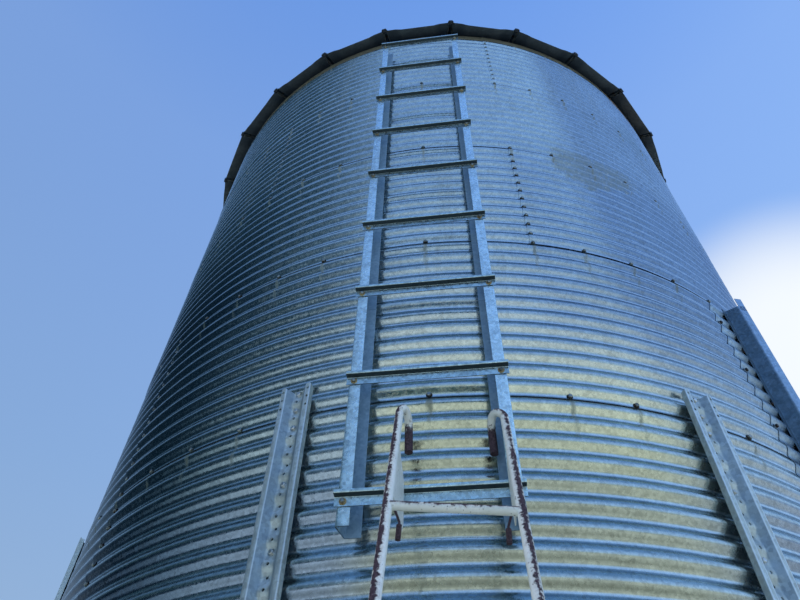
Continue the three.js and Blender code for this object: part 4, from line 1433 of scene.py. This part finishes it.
def hopper_panel():
    """One plate of the cone, with a standing lap on one edge."""
    rows = []
    outer = [(WALL_OUTER - 0.001, HOPPER_TOP), (WALL_OUTER - 0.001, CONE_TOP),
             (WALL_OUTER - 0.25, CONE_TOP - 0.25 * HOPPER_FALL),
             (OUTLET_RADIUS + 0.5, CONE_FOOT + 0.5 * HOPPER_FALL),
             (OUTLET_RADIUS + 0.004, CONE_FOOT + 0.003)]
    for radius, z in outer:
        lap = min(0.030 / radius, PITCH * 0.5)
        shape = [(0.0, 0.0), (lap, 0.0), (lap * 1.05, -0.003), (PLATE / 2, -0.003),
                 (PLATE, -0.003)]
        inner_z = z + 0.004 * (z < HOPPER_TOP)
        rows.append([polar(radius + off, a, z) for a, off in shape]
                    + [polar(radius + off - 0.006, a, inner_z) for a, off in reversed(shape)])
    return prism(rows)


for i, side in enumerate(SIDES):
    plate = together("hopper_plate", [hopper_panel()], HOPPER_ZINC)
    plate.transform(facing(FIRST_PLATE + QUARTER * i * PITCH) @ Matrix.Translation(-AXIS))
    cone = repeated(f"hopper_cone_{side}", plate, PLATES, HOPPER_ZINC, PLATE, weld=0.0)
    settle(cone, "hopper_steel", f"hopper_{side}")

cone_bolts = []
for k in range(BOLTS_ROUND):
    azimuth = (k + BOLT_SHIFT) * PITCH
    cone_bolts.append((polar(WALL_OUTER - 0.0005, azimuth, HOPPER_TOP - BAND / 2),
                       polar(1, azimuth) - AXIS))
for lap in range(4 * PLATES):
    for radius in (1.78 - i * 0.12 for i in range(13)):
        azimuth = lap * PLATE + FIRST_PLATE + min(0.014 / radius, PITCH * 0.25)
        z = CONE_TOP - (WALL_OUTER - radius) * HOPPER_FALL
        way = ((polar(1, azimuth) - AXIS) * math.sin(HOPPER_SLOPE)
               - Vector((0, 0, math.cos(HOPPER_SLOPE))))
        cone_bolts.append((polar(radius, azimuth, z) - way * 0.0012, way))
bolts("bolts_hopper", "hopper_steel", cone_bolts, seed=41)

# %% [markdown]
# A slide gate closes the spout: a flat plate with a folded rim and a round handle.

# %% Slide gate
GATE_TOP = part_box("slide_gate")[1][2]
RIM_FOOT, HANDLE_Z = GATE_TOP - 0.008, GATE_TOP - 0.010
gate = [block((-0.26, -0.3, GATE_TOP - 0.006), (0.26, 0.3, GATE_TOP)),
        block((-0.26, -0.3, RIM_FOOT), (0.26, -0.297, GATE_TOP))]
for x in (-1, 1):
    gate.append(block((x * 0.2575 - 0.0025, -0.3, RIM_FOOT),
                      (x * 0.2575 + 0.0025, 0.3, GATE_TOP - 0.001)))
    gate.append(tube([(x * 0.084, y, HANDLE_Z) for y in (-0.297, -0.305, -0.324)], 0.006, 12))
gate.append(tube([(x * 0.015, -0.324, HANDLE_Z) for x in range(-6, 7)], 0.006, 12))
gate_mesh = together("slide_gate_plate", gate, DOOR_ZINC, 0.001)
gate_mesh.transform(Matrix.Translation(AXIS))
settle(piece("slide_gate_plate", gate_mesh), "door_steel", "slide_gate")

# %% [markdown]
# The floor is plain and pale, with a painted shadow that makes it a little deeper near the
# bin, because the lower flanks of the wall mirror it. The light is soft: a pale sky that
# deepens overhead, with a dark bank low on one side for the wall to mirror, and one broad
# lamp high up. The lamp is kept out of mirror images, where it would show as a round spot.

# %% Floor and light
FLOOR_REACH = 30.0


def floor_finish():
    """Pale all over, with a painted shadow that makes it a little deeper round the bin."""
    paint = Paint("floor_finish")
    away = paint.add("ShaderNodeVectorMath", {"operation": "LENGTH"},
                     [paint.stretched(1, 1, 0)], output=1)
    grain = paint.noise(36.0, 4.0)
    # A painted shadow: darker round the bin
    base = paint.mix(paint.step(away, 4.5, 10.0), rgb(152, 154, 140), rgb(220, 221, 208))
    return paint.set(Base_Color=base, Roughness=0.88 + (grain - 0.5) * 0.1,
                     Normal=paint.bump(grain, 0.0006, 0.6))


floor_mesh = bpy.data.meshes.new("floor")
corners = [(x * FLOOR_REACH, y * FLOOR_REACH, 0) for x, y in ((-1, -1), (1, -1), (1, 1), (-1, 1))]
floor_mesh.from_pydata(corners, [], [(0, 1, 2, 3)])
floor_mesh.materials.append(floor_finish())
floor = piece("floor", floor_mesh)


def sky():
    """Pale at the horizon, deeper overhead, a dark bank low on the left, a cloud behind."""
    world = bpy.data.worlds.new("soft_sky")
    bpy.context.scene.world = world
    world.use_nodes = True
    tree = world.node_tree

    def fade(value, low, high, most=1.0):
        return add(tree, "ShaderNodeMapRange", {"interpolation_type": "SMOOTHSTEP"},
                   [value, low, high, 0.0, most])

    def over(factor, colour, other):
        return add(tree, "ShaderNodeMix", {"data_type": "RGBA"},
                   {0: factor, 6: colour, 7: other}, output=2)

    way = add(tree, "ShaderNodeTexCoord").out("Generated")
    cut = add(tree, "ShaderNodeSeparateXYZ", None, [way])
    stops = [(0.0, rgb(210, 222, 228)), (0.05, rgb(194, 212, 228)), (0.12, rgb(170, 200, 232)),
             (0.5, rgb(146, 184, 236)), (0.85, rgb(130, 170, 236)), (1.0, rgb(104, 152, 234))]
    shown = add(tree, "ShaderNodeValToRGB", {"stops": stops}, [cut.out("Z")])
    bank = fade(cut * -1.0 - cut.out("Y") * 0.25, 0.3, 0.85)
    bank = bank * fade(cut.out("Y"), 0.45, 0.1) * fade(cut.out("Z"), 0.8, 0.5)
    shown = over(bank, shown, rgb(58, 86, 104))
    toward_cloud = add(tree, "ShaderNodeVectorMath", {"operation": "DOT_PRODUCT"},
                       [way, (0.45, 0.68, 0.58)], output=1)
    shown = over(fade(toward_cloud, 0.972, 0.998, 0.9), shown, rgb(246, 250, 252))
    shade = tree.nodes["Background"]
    fill(tree, shade.inputs["Color"], shown)
    fill(tree, shade.inputs["Strength"], 0.97 + cut * 0.22)
    print("sky has", len(tree.nodes), "nodes")


sky()
lamp = bpy.data.lights.new("high_lamp", "SUN")
lamp.energy = 2.6
lamp.color = (1.0, 0.94, 0.83)
lamp.angle = math.radians(32)
high_lamp = piece("high_lamp", lamp)
high_lamp.matrix_world = Vector((-0.2, 0.12, 1.0)).to_track_quat("Z", "Y").to_matrix().to_4x4()
high_lamp.visible_glossy = False

# %% [markdown]
# The camera stands almost under the ladder and looks up at it, a little to the left, with
# the small tilt of a picture taken by hand.

# %% Camera
CAMERA_AT = AXIS + Vector((0.137, -3.3375, 1.522))
CAMERA_PITCH, CAMERA_YAW, CAMERA_ROLL = (math.radians(a) for a in (48.713, -8.39, 1.399))


def camera_axes():
    """The ways that the camera calls right, up and forward."""
    ahead = Vector((math.sin(CAMERA_YAW), math.cos(CAMERA_YAW), 0))
    forward = ahead * math.cos(CAMERA_PITCH) + Vector((0, 0, math.sin(CAMERA_PITCH)))
    level = Vector((math.cos(CAMERA_YAW), -math.sin(CAMERA_YAW), 0))
    above = level.cross(forward)
    right = level * math.cos(CAMERA_ROLL) + above * math.sin(CAMERA_ROLL)
    up = above * math.cos(CAMERA_ROLL) - level * math.sin(CAMERA_ROLL)
    return right, up, forward


right, up, forward = camera_axes()
camera_data = bpy.data.cameras.new("camera")
camera_data.lens = 28.23
camera_data.sensor_width = 36
camera_data.clip_start = 0.02
camera = piece("camera", camera_data)
turn = Matrix((right, up, -forward)).transposed().to_4x4()
camera.matrix_world = Matrix.Translation(CAMERA_AT) @ turn
bpy.context.scene.camera = camera
bpy.context.scene.view_settings.view_transform = "Standard"
print("camera at", [round(c, 3) for c in CAMERA_AT], "looks", [round(c, 3) for c in forward])
